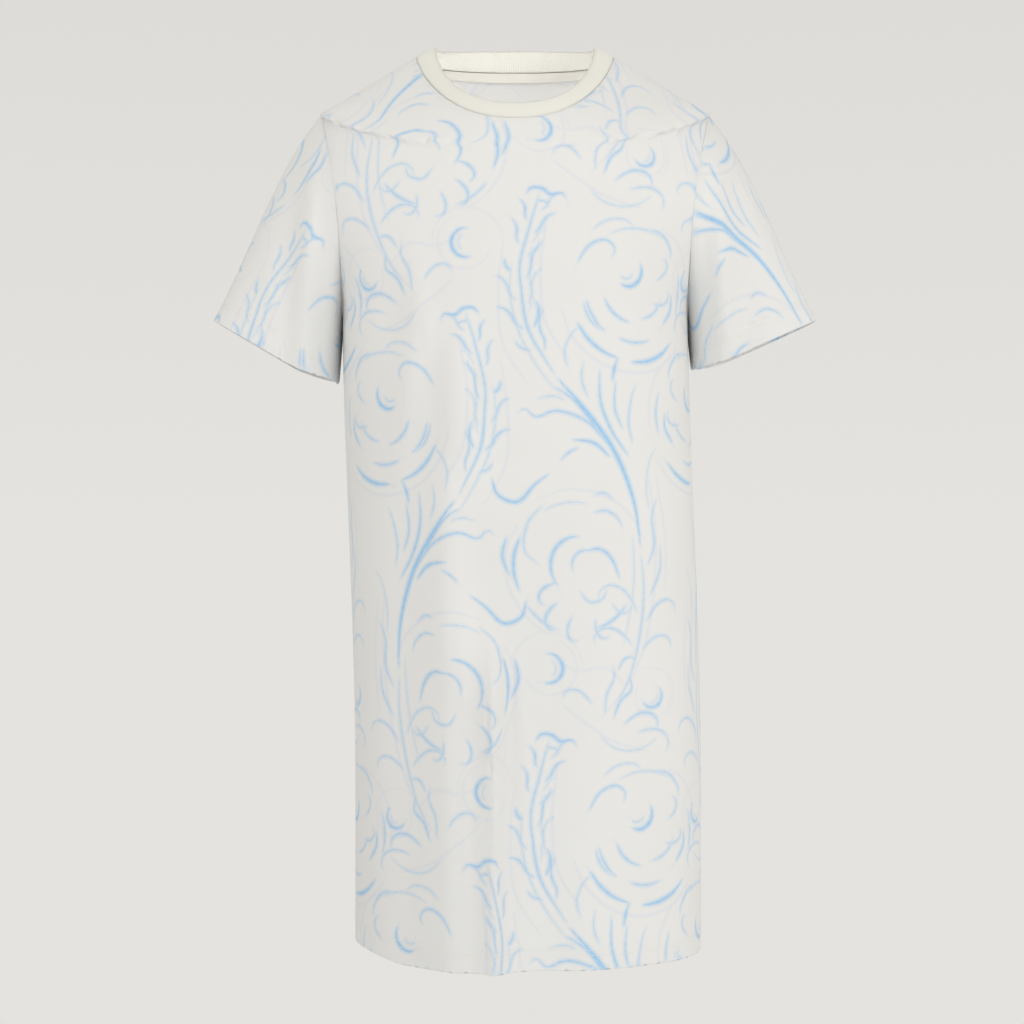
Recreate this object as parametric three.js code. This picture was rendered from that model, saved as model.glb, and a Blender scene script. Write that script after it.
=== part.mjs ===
// Short-sleeved pull-over gown in printed jersey with a rib collar, modelled as worn.
// Millimetres, +Z up, -Y is the front and +X is the wearer's left. The origin lies midway
// between the two points where the shoulder seams meet the collar, so the cloth hangs below it.
//
// Each piece of cloth is a grid of points on its outer face, one row above another, with an
// inward vector at each point. Everything that is sewn to a cloth takes its place from its grid.

import * as THREE from "three";

// ---- Body ----
const LENGTH = 888; // collar end of the shoulder seam down to the hem
const CHEST_HALF_WIDTH = 172; // centre to the side seam at the underarm
const HEM_HALF_WIDTH = 172;
const CHEST_DEPTH = { front: 120, back: 115 }; // side seam to the cloth at the centre
const HEM_DEPTH = { front: 135, back: 125 };
const NECK_POINT_DEPTH = { front: 52, back: 70 }; // the same at the height of the collar's sides
const DEPTH_CURVE = 3.2; // how fast the chest fills out below the shoulders
const ROUNDNESS = 2.3; // 2 is an ellipse, more is squarer

// ---- Shoulder, armhole and neckline ----
const SHOULDER_HALF_WIDTH = 194; // centre to the shoulder tip
const SHOULDER_DROP = 58; // shoulder tip below the collar end of its seam
const ARMHOLE_HEIGHT = 205; // shoulder tip down to the underarm
const ARMHOLE_DEPTH = { front: 75, back: 80 }; // the armhole's reach from the side seam plane
const ARMHOLE_ROUNDNESS = 0.6; // less is a squarer armhole
const ARMHOLE_HOLLOW = 4; // how far the armhole seam is cut in
const ARMHOLE_FLARE = 2.2; // how late the armhole seam runs out to the tip
const NECK_HALF_WIDTH = 99;
const NECKLINE_DROP = { front: 80, back: 0 }; // neckline at the centre below its sides
const NECKLINE_CURVE = 1.4; // more is a more pointed neckline

// ---- Sleeve ----
const SLEEVE_TOP = { out: 105, down: 206 }; // shoulder tip to the cuff, along the upper edge
const SLEEVE_SEAM = { out: 6, down: 60 }; // underarm to the cuff, along the sleeve seam
const CUFF_HALF_DEPTH = 50;
const SLEEVE_CROWN = 6; // rounding of the sleeve just below the shoulder tip

// ---- Collar ----
const RIB_THICKNESS = 2.4; // two layers of rib
const RIB_RISE = { front: 17, side: 9, back: 20 }; // rib's free edge above its seam
const RIB_LEAN = { front: 10, side: 20, back: 8 }; // and how far it leans inwards

// ---- Cloth, hems and trimmings ----
const CLOTH = 1;
const TURNED_HEM = 2.2; // two layers of cloth with the fold
const HEM_TURN = 25; // height of the turned hem of body and sleeves
const HEM_STEP = 1.5; // height over which the turned edge runs out
const HEM_STITCH_HEIGHT = { lower: 17, upper: 22 }; // twin-needle rows above the hem
const GAP = 0.3; // between pieces that lie together
const FOLD_GAP = 0.8; // the same where the cloth beneath turns sharply
const THREAD = { width: 1, thickness: 0.4 };
const NECK_STITCH_DROP = 3; // topstitching below the collar seam
const SEAM = { inset: 0.6, width: 6, thickness: 1.2 }; // seam allowance bound with thread
const SEAM_MARGIN = 1; // between the armhole seam and the first row of the sleeve past it
const NECK_TAPE = { inset: 0.6, width: 9.5, thickness: 0.6 };
const SHOULDER_TAPE = { halfWidth: 4, thickness: 0.6, neckEnd: 14, tipEnd: 10 };
const LABEL = { width: 22, height: 45, thickness: 0.5, aboveHem: 90 };
const MITRE_LIMIT = 1.4; // longest cut edge at a sharp fold, in thicknesses

// ---- Grid ----
const PANEL_COLUMNS = 20;
const BODY_ROWS = 9;
const ARMHOLE_ROWS = 10;
const SHOULDER_ROWS = 4;
const SLEEVE_ROWS = 6;
const RIB_ROWS = 2;
const HEM_ROWS = 2; // the hem's fold and the edge of its turn

// ---- Materials ----
const cloth = new THREE.MeshStandardMaterial({ color: 0xe9e9e5, roughness: 0.95, metalness: 0 });
const rib = new THREE.MeshStandardMaterial({ color: 0xefeae0, roughness: 0.95, metalness: 0 });
const tape = new THREE.MeshStandardMaterial({ color: 0xebe7dc, roughness: 0.9, metalness: 0 });
const thread = new THREE.MeshStandardMaterial({ color: 0xf2f1ec, roughness: 0.7, metalness: 0 });
const satin = new THREE.MeshStandardMaterial({ color: 0xf7f7f5, roughness: 0.45, metalness: 0 });

const tipZ = -SHOULDER_DROP;
const underarmZ = tipZ - ARMHOLE_HEIGHT;
const hemZ = -LENGTH;
const lerp = THREE.MathUtils.lerp;
const gown = new THREE.Group();

// ---- Cloth grids ----

/** Outward normals of a grid whose columns run anticlockwise and whose rows run upwards. */
function normalsOf(points, round) {
  const top = points.length - 1;
  return points.map((row, i) =>
    row.map((_, j) => {
      const count = row.length;
      const left = round ? row[(j + count - 1) % count] : row[Math.max(j - 1, 0)];
      const right = round ? row[(j + 1) % count] : row[Math.min(j + 1, count - 1)];
      const along = right.clone().sub(left);
      const up = points[Math.min(i + 1, top)][j].clone().sub(points[Math.max(i - 1, 0)][j]);
      return along.cross(up).normalize();
    }),
  );
}

/** A cloth: its outer points, its normals and the inward vector of one millimetre of thickness. */
function makeCloth(points, round) {
  const normals = normalsOf(points, round);
  const inward = normals.map((row) => row.map((normal) => normal.clone().negate()));
  return { points, normals, inward, round };
}

/** Point of a cloth at a depth under its outer face; a negative depth lies outside it. */
function at(sheet, i, j, depth) {
  return sheet.points[i][j].clone().addScaledVector(sheet.inward[i][j], depth);
}

/** Point at a distance from grid point (i, j) towards grid point (k, l), at a depth. */
function beside(sheet, i, j, k, l, distance, depth) {
  const share = distance / sheet.points[i][j].distanceTo(sheet.points[k][l]);
  return at(sheet, i, j, depth).lerp(at(sheet, k, l, depth), share);
}

/** Cuts an edge point along a shared outward direction, so that two sewn edges stay parallel. */
function cutAlong(sheet, i, j, outward) {
  const length = Math.min(1 / Math.max(outward.dot(sheet.normals[i][j]), 0.01), MITRE_LIMIT);
  sheet.inward[i][j] = outward.clone().multiplyScalar(-length);
}

/** Flattens the inward vector of an edge point onto the seam plane, across one axis. */
function cutFlat(sheet, i, j, axis) {
  const outward = sheet.normals[i][j].clone();
  outward[axis] = 0;
  cutAlong(sheet, i, j, outward.normalize());
}

/** Closed solid between two grids of the same size. A round one closes on its first column. */
function shell(outer, inner, round) {
  const rows = outer.length;
  const columns = outer[0].length;
  const points = [...outer.flat(), ...inner.flat()];
  const faces = [];
  const index = (layer, i, j) => layer * rows * columns + i * columns + (j % columns);
  const quad = (a, b, c, d) => faces.push(a, b, c, a, c, d);
  for (let i = 0; i < rows - 1; i++) {
    for (let j = 0; j < (round ? columns : columns - 1); j++) {
      quad(index(0, i, j), index(0, i, j + 1), index(0, i + 1, j + 1), index(0, i + 1, j));
      quad(index(1, i, j + 1), index(1, i, j), index(1, i + 1, j), index(1, i + 1, j + 1));
    }
    if (round) continue;
    const last = columns - 1;
    quad(index(1, i, 0), index(0, i, 0), index(0, i + 1, 0), index(1, i + 1, 0));
    quad(index(0, i, last), index(1, i, last), index(1, i + 1, last), index(0, i + 1, last));
  }
  const top = rows - 1;
  for (let j = 0; j < (round ? columns : columns - 1); j++) {
    quad(index(0, 0, j + 1), index(0, 0, j), index(1, 0, j), index(1, 0, j + 1));
    quad(index(0, top, j), index(0, top, j + 1), index(1, top, j + 1), index(1, top, j));
  }
  const geometry = new THREE.BufferGeometry();
  const flat = points.flatMap((point) => point.toArray());
  geometry.setAttribute("position", new THREE.Float32BufferAttribute(flat, 3));
  geometry.setIndex(faces);
  geometry.computeVertexNormals();
  return geometry;
}

/** Adds a named piece to the gown. */
function add(name, geometry, material) {
  const mesh = new THREE.Mesh(geometry, material);
  mesh.name = name;
  gown.add(mesh);
}

/** One face of a strip: place(i, j, depth) gives its points. */
function faceOf(rows, columns, place, depth) {
  return Array.from({ length: rows }, (_, i) =>
    Array.from({ length: columns }, (__, j) => place(i, j, depth)),
  );
}

/** Solid between two depths of the same strip. */
function strip(rows, columns, place, from, to, round = false) {
  const outer = faceOf(rows, columns, place, from);
  return shell(outer, faceOf(rows, columns, place, to), round);
}

/** The same grid on the wearer's other side, with its columns turned round to face outwards. */
const mirrored = (grid) =>
  grid.map((row) => row.map((point) => new THREE.Vector3(-point.x, point.y, point.z)).reverse());

// ---- Body panels ----

/** How far the cloth lies from the side seam plane at the centre, at a height. */
function depthAt(side, z) {
  if (z <= underarmZ) {
    const down = (underarmZ - z) / (underarmZ - hemZ);
    return lerp(CHEST_DEPTH[side], HEM_DEPTH[side], down);
  }
  const filled = 1 - Math.pow(1 - Math.min(z / underarmZ, 1), DEPTH_CURVE);
  return lerp(NECK_POINT_DEPTH[side], CHEST_DEPTH[side], filled);
}

/** Where a panel's edge lies at a height: on the side seam, the armhole or the shoulder seam. */
function edgeAt(side, z) {
  if (z <= underarmZ) {
    const down = (underarmZ - z) / (underarmZ - hemZ);
    return { x: lerp(CHEST_HALF_WIDTH, HEM_HALF_WIDTH, down), y: 0 };
  }
  if (z >= tipZ) return { x: lerp(NECK_HALF_WIDTH, SHOULDER_HALF_WIDTH, z / tipZ), y: 0 };
  const t = (z - underarmZ) / ARMHOLE_HEIGHT;
  const bow = Math.sin(Math.PI * t);
  const flared = lerp(CHEST_HALF_WIDTH, SHOULDER_HALF_WIDTH, Math.pow(t, ARMHOLE_FLARE));
  return {
    x: flared - ARMHOLE_HOLLOW * bow,
    y: ARMHOLE_DEPTH[side] * Math.pow(bow, ARMHOLE_ROUNDNESS),
  };
}

/** Heights of the rows at the panel's edge, from the hem to the collar. */
function rowHeights() {
  const heights = [hemZ, hemZ + HEM_TURN];
  const firstBody = hemZ + HEM_TURN + HEM_STEP;
  for (let i = 0; i < BODY_ROWS; i++) heights.push(lerp(firstBody, underarmZ, i / BODY_ROWS));
  for (let i = 0; i < ARMHOLE_ROWS; i++) {
    // Closer together at both ends, where the armhole turns.
    const share = (1 - Math.cos((Math.PI * i) / ARMHOLE_ROWS)) / 2;
    heights.push(lerp(underarmZ, tipZ, share));
  }
  for (let i = 0; i <= SHOULDER_ROWS; i++) heights.push(lerp(tipZ, 0, i / SHOULDER_ROWS));
  return heights;
}

const heights = rowHeights();
const topRow = heights.length - 1;
const underarmRow = HEM_ROWS + BODY_ROWS;
const tipRow = underarmRow + ARMHOLE_ROWS;
const inArmhole = (i) => i > underarmRow && i < tipRow;
const seamColumns = [0, PANEL_COLUMNS];

/** Outer points of a body panel, with both side edges still on the seam plane. */
function panelPoints(side) {
  return heights.map((edgeZ) => {
    const edge = edgeAt(side, edgeZ);
    const reach = Math.pow(edge.y / depthAt(side, edgeZ), ROUNDNESS);
    const halfWidth = edge.x / Math.pow(1 - reach, 1 / ROUNDNESS);
    const edgeAngle = Math.asin(Math.sqrt(reach));
    return Array.from({ length: PANEL_COLUMNS + 1 }, (_, j) => {
      const share = j / PANEL_COLUMNS;
      const angle = lerp(edgeAngle, Math.PI - edgeAngle, share);
      const topZ = -NECKLINE_DROP[side] * Math.pow(Math.sin(Math.PI * share), NECKLINE_CURVE);
      const above = Math.max(edgeZ - underarmZ, 0) / -underarmZ;
      const z = Math.min(edgeZ, underarmZ) + above * (topZ - underarmZ);
      const x = halfWidth * Math.sign(Math.cos(angle)) * Math.abs(Math.cos(angle)) ** (2 / ROUNDNESS);
      const y = depthAt(side, z) * Math.sin(angle) ** (2 / ROUNDNESS);
      return side === "back" ? new THREE.Vector3(x, y, z) : new THREE.Vector3(-x, -y, z);
    });
  });
}

const back = makeCloth(panelPoints("back"), false);
const front = makeCloth(panelPoints("front"), false);

for (let i = 0; i <= topRow; i++) {
  if (inArmhole(i)) continue;
  for (const j of seamColumns) {
    // Front and back meet here, and their columns run in opposite directions.
    const other = PANEL_COLUMNS - j;
    const outward = back.normals[i][j].clone().add(front.normals[i][other]);
    outward.y = 0;
    outward.normalize();
    cutAlong(back, i, j, outward);
    cutAlong(front, i, other, outward);
    back.normals[i][j].copy(outward);
    front.normals[i][other].copy(outward);
  }
}
for (const panel of [front, back]) {
  for (let j = 0; j <= PANEL_COLUMNS; j++) cutFlat(panel, 0, j, "z");
}

// ---- Collar and neckline ----

/** The neckline as one ring: the back from the wearer's left to right, then the front. */
const neckRing = [
  ...Array.from({ length: PANEL_COLUMNS }, (_, j) => ({ panel: back, j })),
  ...Array.from({ length: PANEL_COLUMNS }, (_, j) => ({ panel: front, j })),
];

/** A value that runs from the collar's sides to its centre front or back, at a ring place. */
function aroundNeck(values, place) {
  const centre = Math.sin((Math.PI * place.j) / PANEL_COLUMNS) ** NECKLINE_CURVE;
  return lerp(values.side, place.panel === back ? values.back : values.front, centre);
}

const ribPoints = Array.from({ length: RIB_ROWS + 1 }, (_, i) =>
  neckRing.map((place) => {
    const seam = place.panel.points[topRow][place.j];
    const flat = new THREE.Vector3(seam.x, seam.y, 0);
    const lean = -aroundNeck(RIB_LEAN, place) * (i / RIB_ROWS);
    const point = seam.clone().addScaledVector(flat.normalize(), lean);
    point.z += aroundNeck(RIB_RISE, place) * (i / RIB_ROWS);
    return point;
  }),
);

/** Sews the first row of a round cloth to the edge points of others, one gap away from them. */
function sewOn(sheet, places) {
  const ring = sheet.points[0].map((point) => point.clone());
  places.forEach(({ panel, i, j }, k) => {
    const outward = panel.normals[i][j].clone().add(sheet.normals[0][k]).normalize();
    const next = ring[(k + 1) % ring.length];
    const previous = ring[(k + ring.length - 1) % ring.length];
    const along = next.clone().sub(previous).normalize();
    const away = outward.clone().cross(along).normalize();
    cutAlong(panel, i, j, outward);
    cutAlong(sheet, 0, k, outward);
    sheet.points[0][k].addScaledVector(away, GAP);
  });
}

const collar = makeCloth(ribPoints, true);
const neckPlaces = neckRing.map(({ panel, j }) => ({ panel, i: topRow, j }));
sewOn(collar, neckPlaces);
for (const [panel, other] of [[front, back], [back, front]]) {
  // Each panel's last corner is the other's first one, so it is cut the same way.
  const corner = other.inward[topRow][0];
  panel.inward[topRow][PANEL_COLUMNS].copy(corner);
}

// ---- Sleeves ----

/** The left armhole as a ring: underarm, up the back, shoulder tip, down the front. */
function armholePlaces() {
  const places = [];
  for (let i = underarmRow; i <= tipRow; i++) places.push({ panel: back, i, j: 0 });
  for (let i = tipRow - 1; i > underarmRow; i--) {
    places.push({ panel: front, i, j: PANEL_COLUMNS });
  }
  return places;
}

/** How far round the armhole each point lies: 0 at the underarm, a half at the shoulder tip. */
function turnsOf(ring) {
  const length = [0];
  for (let k = 0; k < ring.length; k++) {
    length.push(length[k] + ring[k].distanceTo(ring[(k + 1) % ring.length]));
  }
  const tip = length[ARMHOLE_ROWS];
  const whole = length[ring.length];
  return ring.map((_, k) =>
    k <= ARMHOLE_ROWS ? length[k] / tip / 2 : (1 + (length[k] - tip) / (whole - tip)) / 2,
  );
}

const armhole = armholePlaces();
const armholeRing = armhole.map(({ panel, i, j }) => panel.points[i][j].clone());
const turns = turnsOf(armholeRing);
const sleeveTip = new THREE.Vector3(SHOULDER_HALF_WIDTH, 0, tipZ);
const sleeveUnderarm = new THREE.Vector3(CHEST_HALF_WIDTH, 0, underarmZ);
const sleeveTop = new THREE.Vector3(SLEEVE_TOP.out, 0, -SLEEVE_TOP.down);
const sleeveSeam = new THREE.Vector3(SLEEVE_SEAM.out, 0, -SLEEVE_SEAM.down);
const cuffOuter = sleeveTip.add(sleeveTop);
const cuffInner = sleeveUnderarm.add(sleeveSeam);
const cuffMiddle = cuffOuter.clone().add(cuffInner).divideScalar(2);
const cuffHalf = cuffOuter.clone().sub(cuffMiddle);
const sleeveTopDown = sleeveTop.clone().normalize();
const sleeveSeamDown = sleeveSeam.clone().normalize();
const sleeveOut = new THREE.Vector3(-sleeveTopDown.z, 0, sleeveTopDown.x);

/** Point of the cuff's edge at a share of the turn. */
function cuffAt(turn) {
  const angle = 2 * Math.PI * turn;
  const point = cuffMiddle.clone().addScaledVector(cuffHalf, -Math.cos(angle));
  point.y = CUFF_HALF_DEPTH * Math.sin(angle);
  return point;
}

/** The cuff's edge point of a ring place, moved up the turned hem by a height. */
function bandAt(turn, height) {
  const over = (1 - Math.cos(2 * Math.PI * turn)) / 2;
  const down = sleeveSeamDown.clone().lerp(sleeveTopDown, over).normalize();
  return cuffAt(turn).addScaledVector(down, -height);
}

/** Point of the sleeve at a ring place k: rows run down to the turned hem, then to the cuff. */
function sleeveAt(k, row) {
  if (row > SLEEVE_ROWS) return bandAt(turns[k], row === SLEEVE_ROWS + 1 ? HEM_TURN : 0);
  const band = bandAt(turns[k], HEM_TURN + HEM_STEP);
  const seamBand = (SEAM.inset + SEAM.width + SEAM_MARGIN) / armholeRing[k].distanceTo(band);
  const share = row === 0 ? 0 : lerp(seamBand, 1, (row - 1) / (SLEEVE_ROWS - 1));
  const crown = (1 - Math.cos(2 * Math.PI * turns[k])) / 2;
  const swell = (27 / 4) * share * (1 - share) ** 2; // 1 at a third of the length
  const point = armholeRing[k].clone().lerp(band, share);
  return point.addScaledVector(sleeveOut, SLEEVE_CROWN * crown * swell);
}

const cuffRow = SLEEVE_ROWS + HEM_ROWS;
const sleevePoints = Array.from({ length: cuffRow + 1 }, (_, row) =>
  armholeRing.map((__, k) => sleeveAt(k, row)),
);
const sleeve = makeCloth(sleevePoints, true);
sewOn(sleeve, armhole);

// The right armhole is the left one in a mirror, and so are the panels' cut edges there.
for (let i = underarmRow; i <= tipRow; i++) {
  for (const panel of [front, back]) {
    const [from, to] = panel === back ? [0, PANEL_COLUMNS] : [PANEL_COLUMNS, 0];
    const edge = panel.inward[i][from];
    panel.inward[i][to].set(-edge.x, edge.y, edge.z);
  }
}
for (const i of [underarmRow, tipRow]) {
  // The front shares the back's cut edge where front, back and sleeve meet.
  for (const j of seamColumns) {
    front.inward[i][PANEL_COLUMNS - j].copy(back.inward[i][j]).setY(0);
    back.inward[i][j].setY(0);
  }
}

// Front and back part by one gap at the side and shoulder seams.
for (let i = 0; i <= topRow; i++) {
  if (inArmhole(i)) continue;
  for (const j of seamColumns) {
    back.points[i][j].y += GAP / 2;
    front.points[i][j].y -= GAP / 2;
  }
}

// ---- Solids of the cloth pieces ----

/** Solid of a cloth whose first or last rows are a turned hem. */
function clothSolid(sheet, inHem) {
  const thickness = (i) => (inHem(i) ? TURNED_HEM : CLOTH);
  const inner = sheet.points.map((row, i) => row.map((_, j) => at(sheet, i, j, thickness(i))));
  return shell(sheet.points, inner, sheet.round);
}

add("front_panel", clothSolid(front, (i) => i < HEM_ROWS), cloth);
add("back_panel", clothSolid(back, (i) => i < HEM_ROWS), cloth);

const collarInner = collar.points.map((row, i) =>
  row.map((_, j) => at(collar, i, j, RIB_THICKNESS)),
);
add("neck_rib", shell(collar.points, collarInner, true), rib);

/** Adds a piece to both sides: the left one as made, and its mirror image on the right. */
function addPair(name, outer, inner, round, material) {
  add(`left_${name}`, shell(outer, inner, round), material);
  add(`right_${name}`, shell(mirrored(outer), mirrored(inner), round), material);
}

/** A strip between two depths, on both sides. */
function stripPair(name, rows, columns, place, from, to, round, material) {
  const outer = faceOf(rows, columns, place, from);
  addPair(name, outer, faceOf(rows, columns, place, to), round, material);
}

const sleeveInner = sleeve.points.map((row, i) =>
  row.map((_, j) => at(sleeve, i, j, i > SLEEVE_ROWS ? TURNED_HEM : CLOTH)),
);
addPair("sleeve", sleeve.points, sleeveInner, true, cloth);

// ---- Seams, tapes and stitching ----

const inside = CLOTH + GAP; // the depth at which a piece lies inside the cloth
const outside = -GAP; // and outside it

/** Point of a ring round both panels, at a distance from row i towards row k. */
const bodyPoint = (place, i, k, distance, depth) =>
  beside(place.panel, i, place.j, k, place.j, distance, depth);

/** Ring round the body: its lower and upper edges at distances from row i towards row k. */
function bodyStrip(i, k, near, far, from, to) {
  const place = (row, column, depth) =>
    bodyPoint(neckRing[column], i, k, row === 0 ? near : far, depth);
  return strip(2, neckRing.length, place, from, to, true);
}

for (const [name, height] of Object.entries(HEM_STITCH_HEIGHT)) {
  const ring = bodyStrip(0, 1, height, height + THREAD.width, outside - THREAD.thickness, outside);
  add(`hem_thread_${name}`, ring, thread);
  const place = (row, column, depth) => {
    const up = row === 0 ? height + THREAD.width : height;
    return beside(sleeve, cuffRow, column, cuffRow - 1, column, up, depth);
  };
  const from = outside - THREAD.thickness;
  stripPair(`cuff_thread_${name}`, 2, armhole.length, place, from, outside, true, thread);
}

const neckStitch = bodyStrip(
  topRow, topRow - 1, NECK_STITCH_DROP + THREAD.width, NECK_STITCH_DROP,
  -FOLD_GAP - THREAD.thickness, -FOLD_GAP,
);
add("neck_thread", neckStitch, thread);

const neckSeam = bodyStrip(
  topRow, topRow - 1, SEAM.inset + SEAM.width, SEAM.inset, inside, inside + SEAM.thickness,
);
add("neck_seam", neckSeam, thread);

const tapeDepth = inside + SEAM.thickness + GAP;
const tapePlace = (row, column, depth) => {
  const drop = NECK_TAPE.inset + (row === 0 ? NECK_TAPE.width : 0);
  return bodyPoint({ panel: back, j: column }, topRow, topRow - 1, drop, depth);
};
add(
  "back_neck_tape",
  strip(2, PANEL_COLUMNS + 1, tapePlace, tapeDepth, tapeDepth + NECK_TAPE.thickness),
  tape,
);

const shoulderRows = SHOULDER_ROWS + 1;
/** Three points across the shoulder seam: on the back, on the seam and on the front. */
const shoulderPlace = (row, column, depth) => {
  const i = tipRow + row;
  const ends = [SHOULDER_TAPE.tipEnd, SHOULDER_TAPE.neckEnd];
  const across = (k) => {
    if (column === 1) return at(back, k, 0, depth).setY(0);
    const [panel, j, l] = column === 0 ? [front, PANEL_COLUMNS, PANEL_COLUMNS - 1] : [back, 0, 1];
    return beside(panel, k, j, k, l, SHOULDER_TAPE.halfWidth, depth);
  };
  const here = across(i);
  if (row > 0 && row < SHOULDER_ROWS) return here;
  const towards = across(row === 0 ? i + 1 : i - 1);
  const step = ends[row === 0 ? 0 : 1] / here.distanceTo(towards);
  return here.lerp(towards, step);
};
stripPair(
  "shoulder_tape", shoulderRows, 3, shoulderPlace,
  inside, inside + SHOULDER_TAPE.thickness, false, tape,
);

/** Side seam allowance, pressed towards the back, from the hem turn up to the underarm. */
const sidePlace = (row, column, depth) => {
  const distance = SEAM.inset + (column === 1 ? SEAM.width : 0);
  return beside(back, row + HEM_ROWS, 0, row + HEM_ROWS, 1, distance, depth);
};
stripPair(
  "side_seam", underarmRow - HEM_ROWS, 2, sidePlace, inside, inside + SEAM.thickness, false, thread,
);

/** Armhole seam allowance, pressed into the sleeve. */
const armholePlace = (row, column, depth) =>
  beside(sleeve, 0, column, 1, column, SEAM.inset + (row === 1 ? SEAM.width : 0), depth);
stripPair(
  "armhole_seam", 2, armhole.length, armholePlace,
  CLOTH + FOLD_GAP, CLOTH + FOLD_GAP + SEAM.thickness, true, thread,
);

/** Sleeve seam allowance from the armhole seam to the turned hem, pressed towards the back. */
const sleeveSeamPlace = (row, column, depth) => {
  const distance = SEAM.inset + (column === 1 ? SEAM.width : 0);
  return beside(sleeve, row + 1, 0, row + 1, 1, distance, depth);
};
stripPair(
  "sleeve_seam", SLEEVE_ROWS, 2, sleeveSeamPlace, inside, inside + SEAM.thickness, false, thread,
);

// ---- Care label ----

const labelZ = hemZ + LABEL.aboveHem + LABEL.height / 2;
const labelSeat = [HEM_ROWS, underarmRow].map((i) => {
  const seat = beside(back, i, 0, i, 1, LABEL.width / 2, inside + SEAM.thickness + GAP);
  return { x: seat.x, z: seat.z };
});
const seatAt = (z) =>
  THREE.MathUtils.mapLinear(z, labelSeat[0].z, labelSeat[1].z, labelSeat[0].x, labelSeat[1].x);
const labelX = Math.min(seatAt(labelZ - LABEL.height / 2), seatAt(labelZ + LABEL.height / 2));
const label = new THREE.Mesh(
  new THREE.BoxGeometry(LABEL.thickness, LABEL.width, LABEL.height), satin,
);
label.name = "care_label";
label.position.set(labelX - LABEL.thickness / 2, 0, labelZ);
gown.add(label);

export default gown;
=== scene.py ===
# %% [markdown]
# # A printed jersey gown on an invisible form
# The gown hangs as it does on a wearer: two body panels, two sleeves and a rib collar, with
# their tapes, seams and stitches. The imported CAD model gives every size. Cloth is a surface that
# is known only by its pattern, so each cloth here is first a coarse grid of points, then a short
# cloth simulation, and last a fine mesh that is laid over the grid with its print drawn in.

# %% Load the frame
import math
import random

import bpy
import numpy as np
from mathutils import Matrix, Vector, geometry
from mathutils.bvhtree import BVHTree
from mathutils.kdtree import KDTree


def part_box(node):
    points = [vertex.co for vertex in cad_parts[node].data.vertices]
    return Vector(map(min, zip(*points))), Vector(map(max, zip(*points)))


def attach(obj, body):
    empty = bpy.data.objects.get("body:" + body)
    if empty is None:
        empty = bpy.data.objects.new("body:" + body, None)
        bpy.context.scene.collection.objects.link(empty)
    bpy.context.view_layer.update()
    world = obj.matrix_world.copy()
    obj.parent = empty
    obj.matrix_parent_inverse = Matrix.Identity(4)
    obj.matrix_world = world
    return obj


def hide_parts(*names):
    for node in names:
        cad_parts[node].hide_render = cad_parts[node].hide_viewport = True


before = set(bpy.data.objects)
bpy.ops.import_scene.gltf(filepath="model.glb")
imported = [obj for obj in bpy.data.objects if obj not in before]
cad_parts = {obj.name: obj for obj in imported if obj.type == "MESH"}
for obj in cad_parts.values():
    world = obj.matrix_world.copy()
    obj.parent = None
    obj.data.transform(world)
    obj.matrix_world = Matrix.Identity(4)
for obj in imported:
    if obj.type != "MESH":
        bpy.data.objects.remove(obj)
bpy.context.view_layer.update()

scene = bpy.context.scene
MM = 0.001
panel_low, panel_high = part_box("front_panel")
hem_z = panel_low.z

# %% [markdown]
# ## Camera
# The view is level, straight on to the front and 2 m away, at about half the gown's height, with
# a long lens, so the front is seen almost without perspective.

# %% Camera
CAMERA_DISTANCE = 2.0
CAMERA_ABOVE_HEM = 0.433
camera_data = bpy.data.cameras.new("camera")
camera_data.sensor_width = 36.0
camera_data.lens = 70.3
camera = bpy.data.objects.new("camera", camera_data)
camera.location = (-0.003, -CAMERA_DISTANCE, hem_z + CAMERA_ABOVE_HEM)
camera.rotation_euler = (math.pi / 2, 0, 0)
scene.collection.objects.link(camera)
scene.camera = camera
print("camera at", tuple(round(v, 3) for v in camera.location))

# %% [markdown]
# ## Studio
# A pale floor well under the hem, a pale surround that lights the cloth from everywhere, a
# large soft lamp at the front right, a weaker one over the other shoulder and a small one that
# lights the inside of the neck, as where a garment is shown on a form that doesn't appear.
# The view transform is Standard, so that pale cloth keeps the values it is given.

# %% Studio
FLOOR_DROP = 0.55
FLOOR_RADIUS = 1.5
bpy.ops.object.select_all(action="DESELECT")
bpy.ops.mesh.primitive_circle_add(
    vertices=128, radius=FLOOR_RADIUS, fill_type="NGON", location=(0, 0, hem_z - FLOOR_DROP)
)
floor = bpy.context.object
floor.name = "floor"
bpy.ops.object.transform_apply(location=True)

world = bpy.data.worlds.new("studio")
scene.world = world
world.use_nodes = True
world_nodes = world.node_tree.nodes
world_nodes["Background"].inputs["Strength"].default_value = 1.0
upward = world_nodes.new("ShaderNodeSeparateXYZ")
ramp = world_nodes.new("ShaderNodeValToRGB")
world_links = world.node_tree.links
world_links.new(world_nodes.new("ShaderNodeTexCoord").outputs["Generated"], upward.inputs[0])
world_links.new(upward.outputs["Z"], ramp.inputs["Fac"])
world_links.new(ramp.outputs["Color"], world_nodes["Background"].inputs["Color"])
WORLD_COLOURS = ((0.0, (0.775, 0.765, 0.735)), (0.10, (0.755, 0.745, 0.715)),
                 (0.24, (0.725, 0.715, 0.686)))
while len(ramp.color_ramp.elements) < len(WORLD_COLOURS):
    ramp.color_ramp.elements.new(0.5)
for element, (place, colour) in zip(ramp.color_ramp.elements, WORLD_COLOURS):
    element.position = place
    element.color = (*colour, 1)


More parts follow.
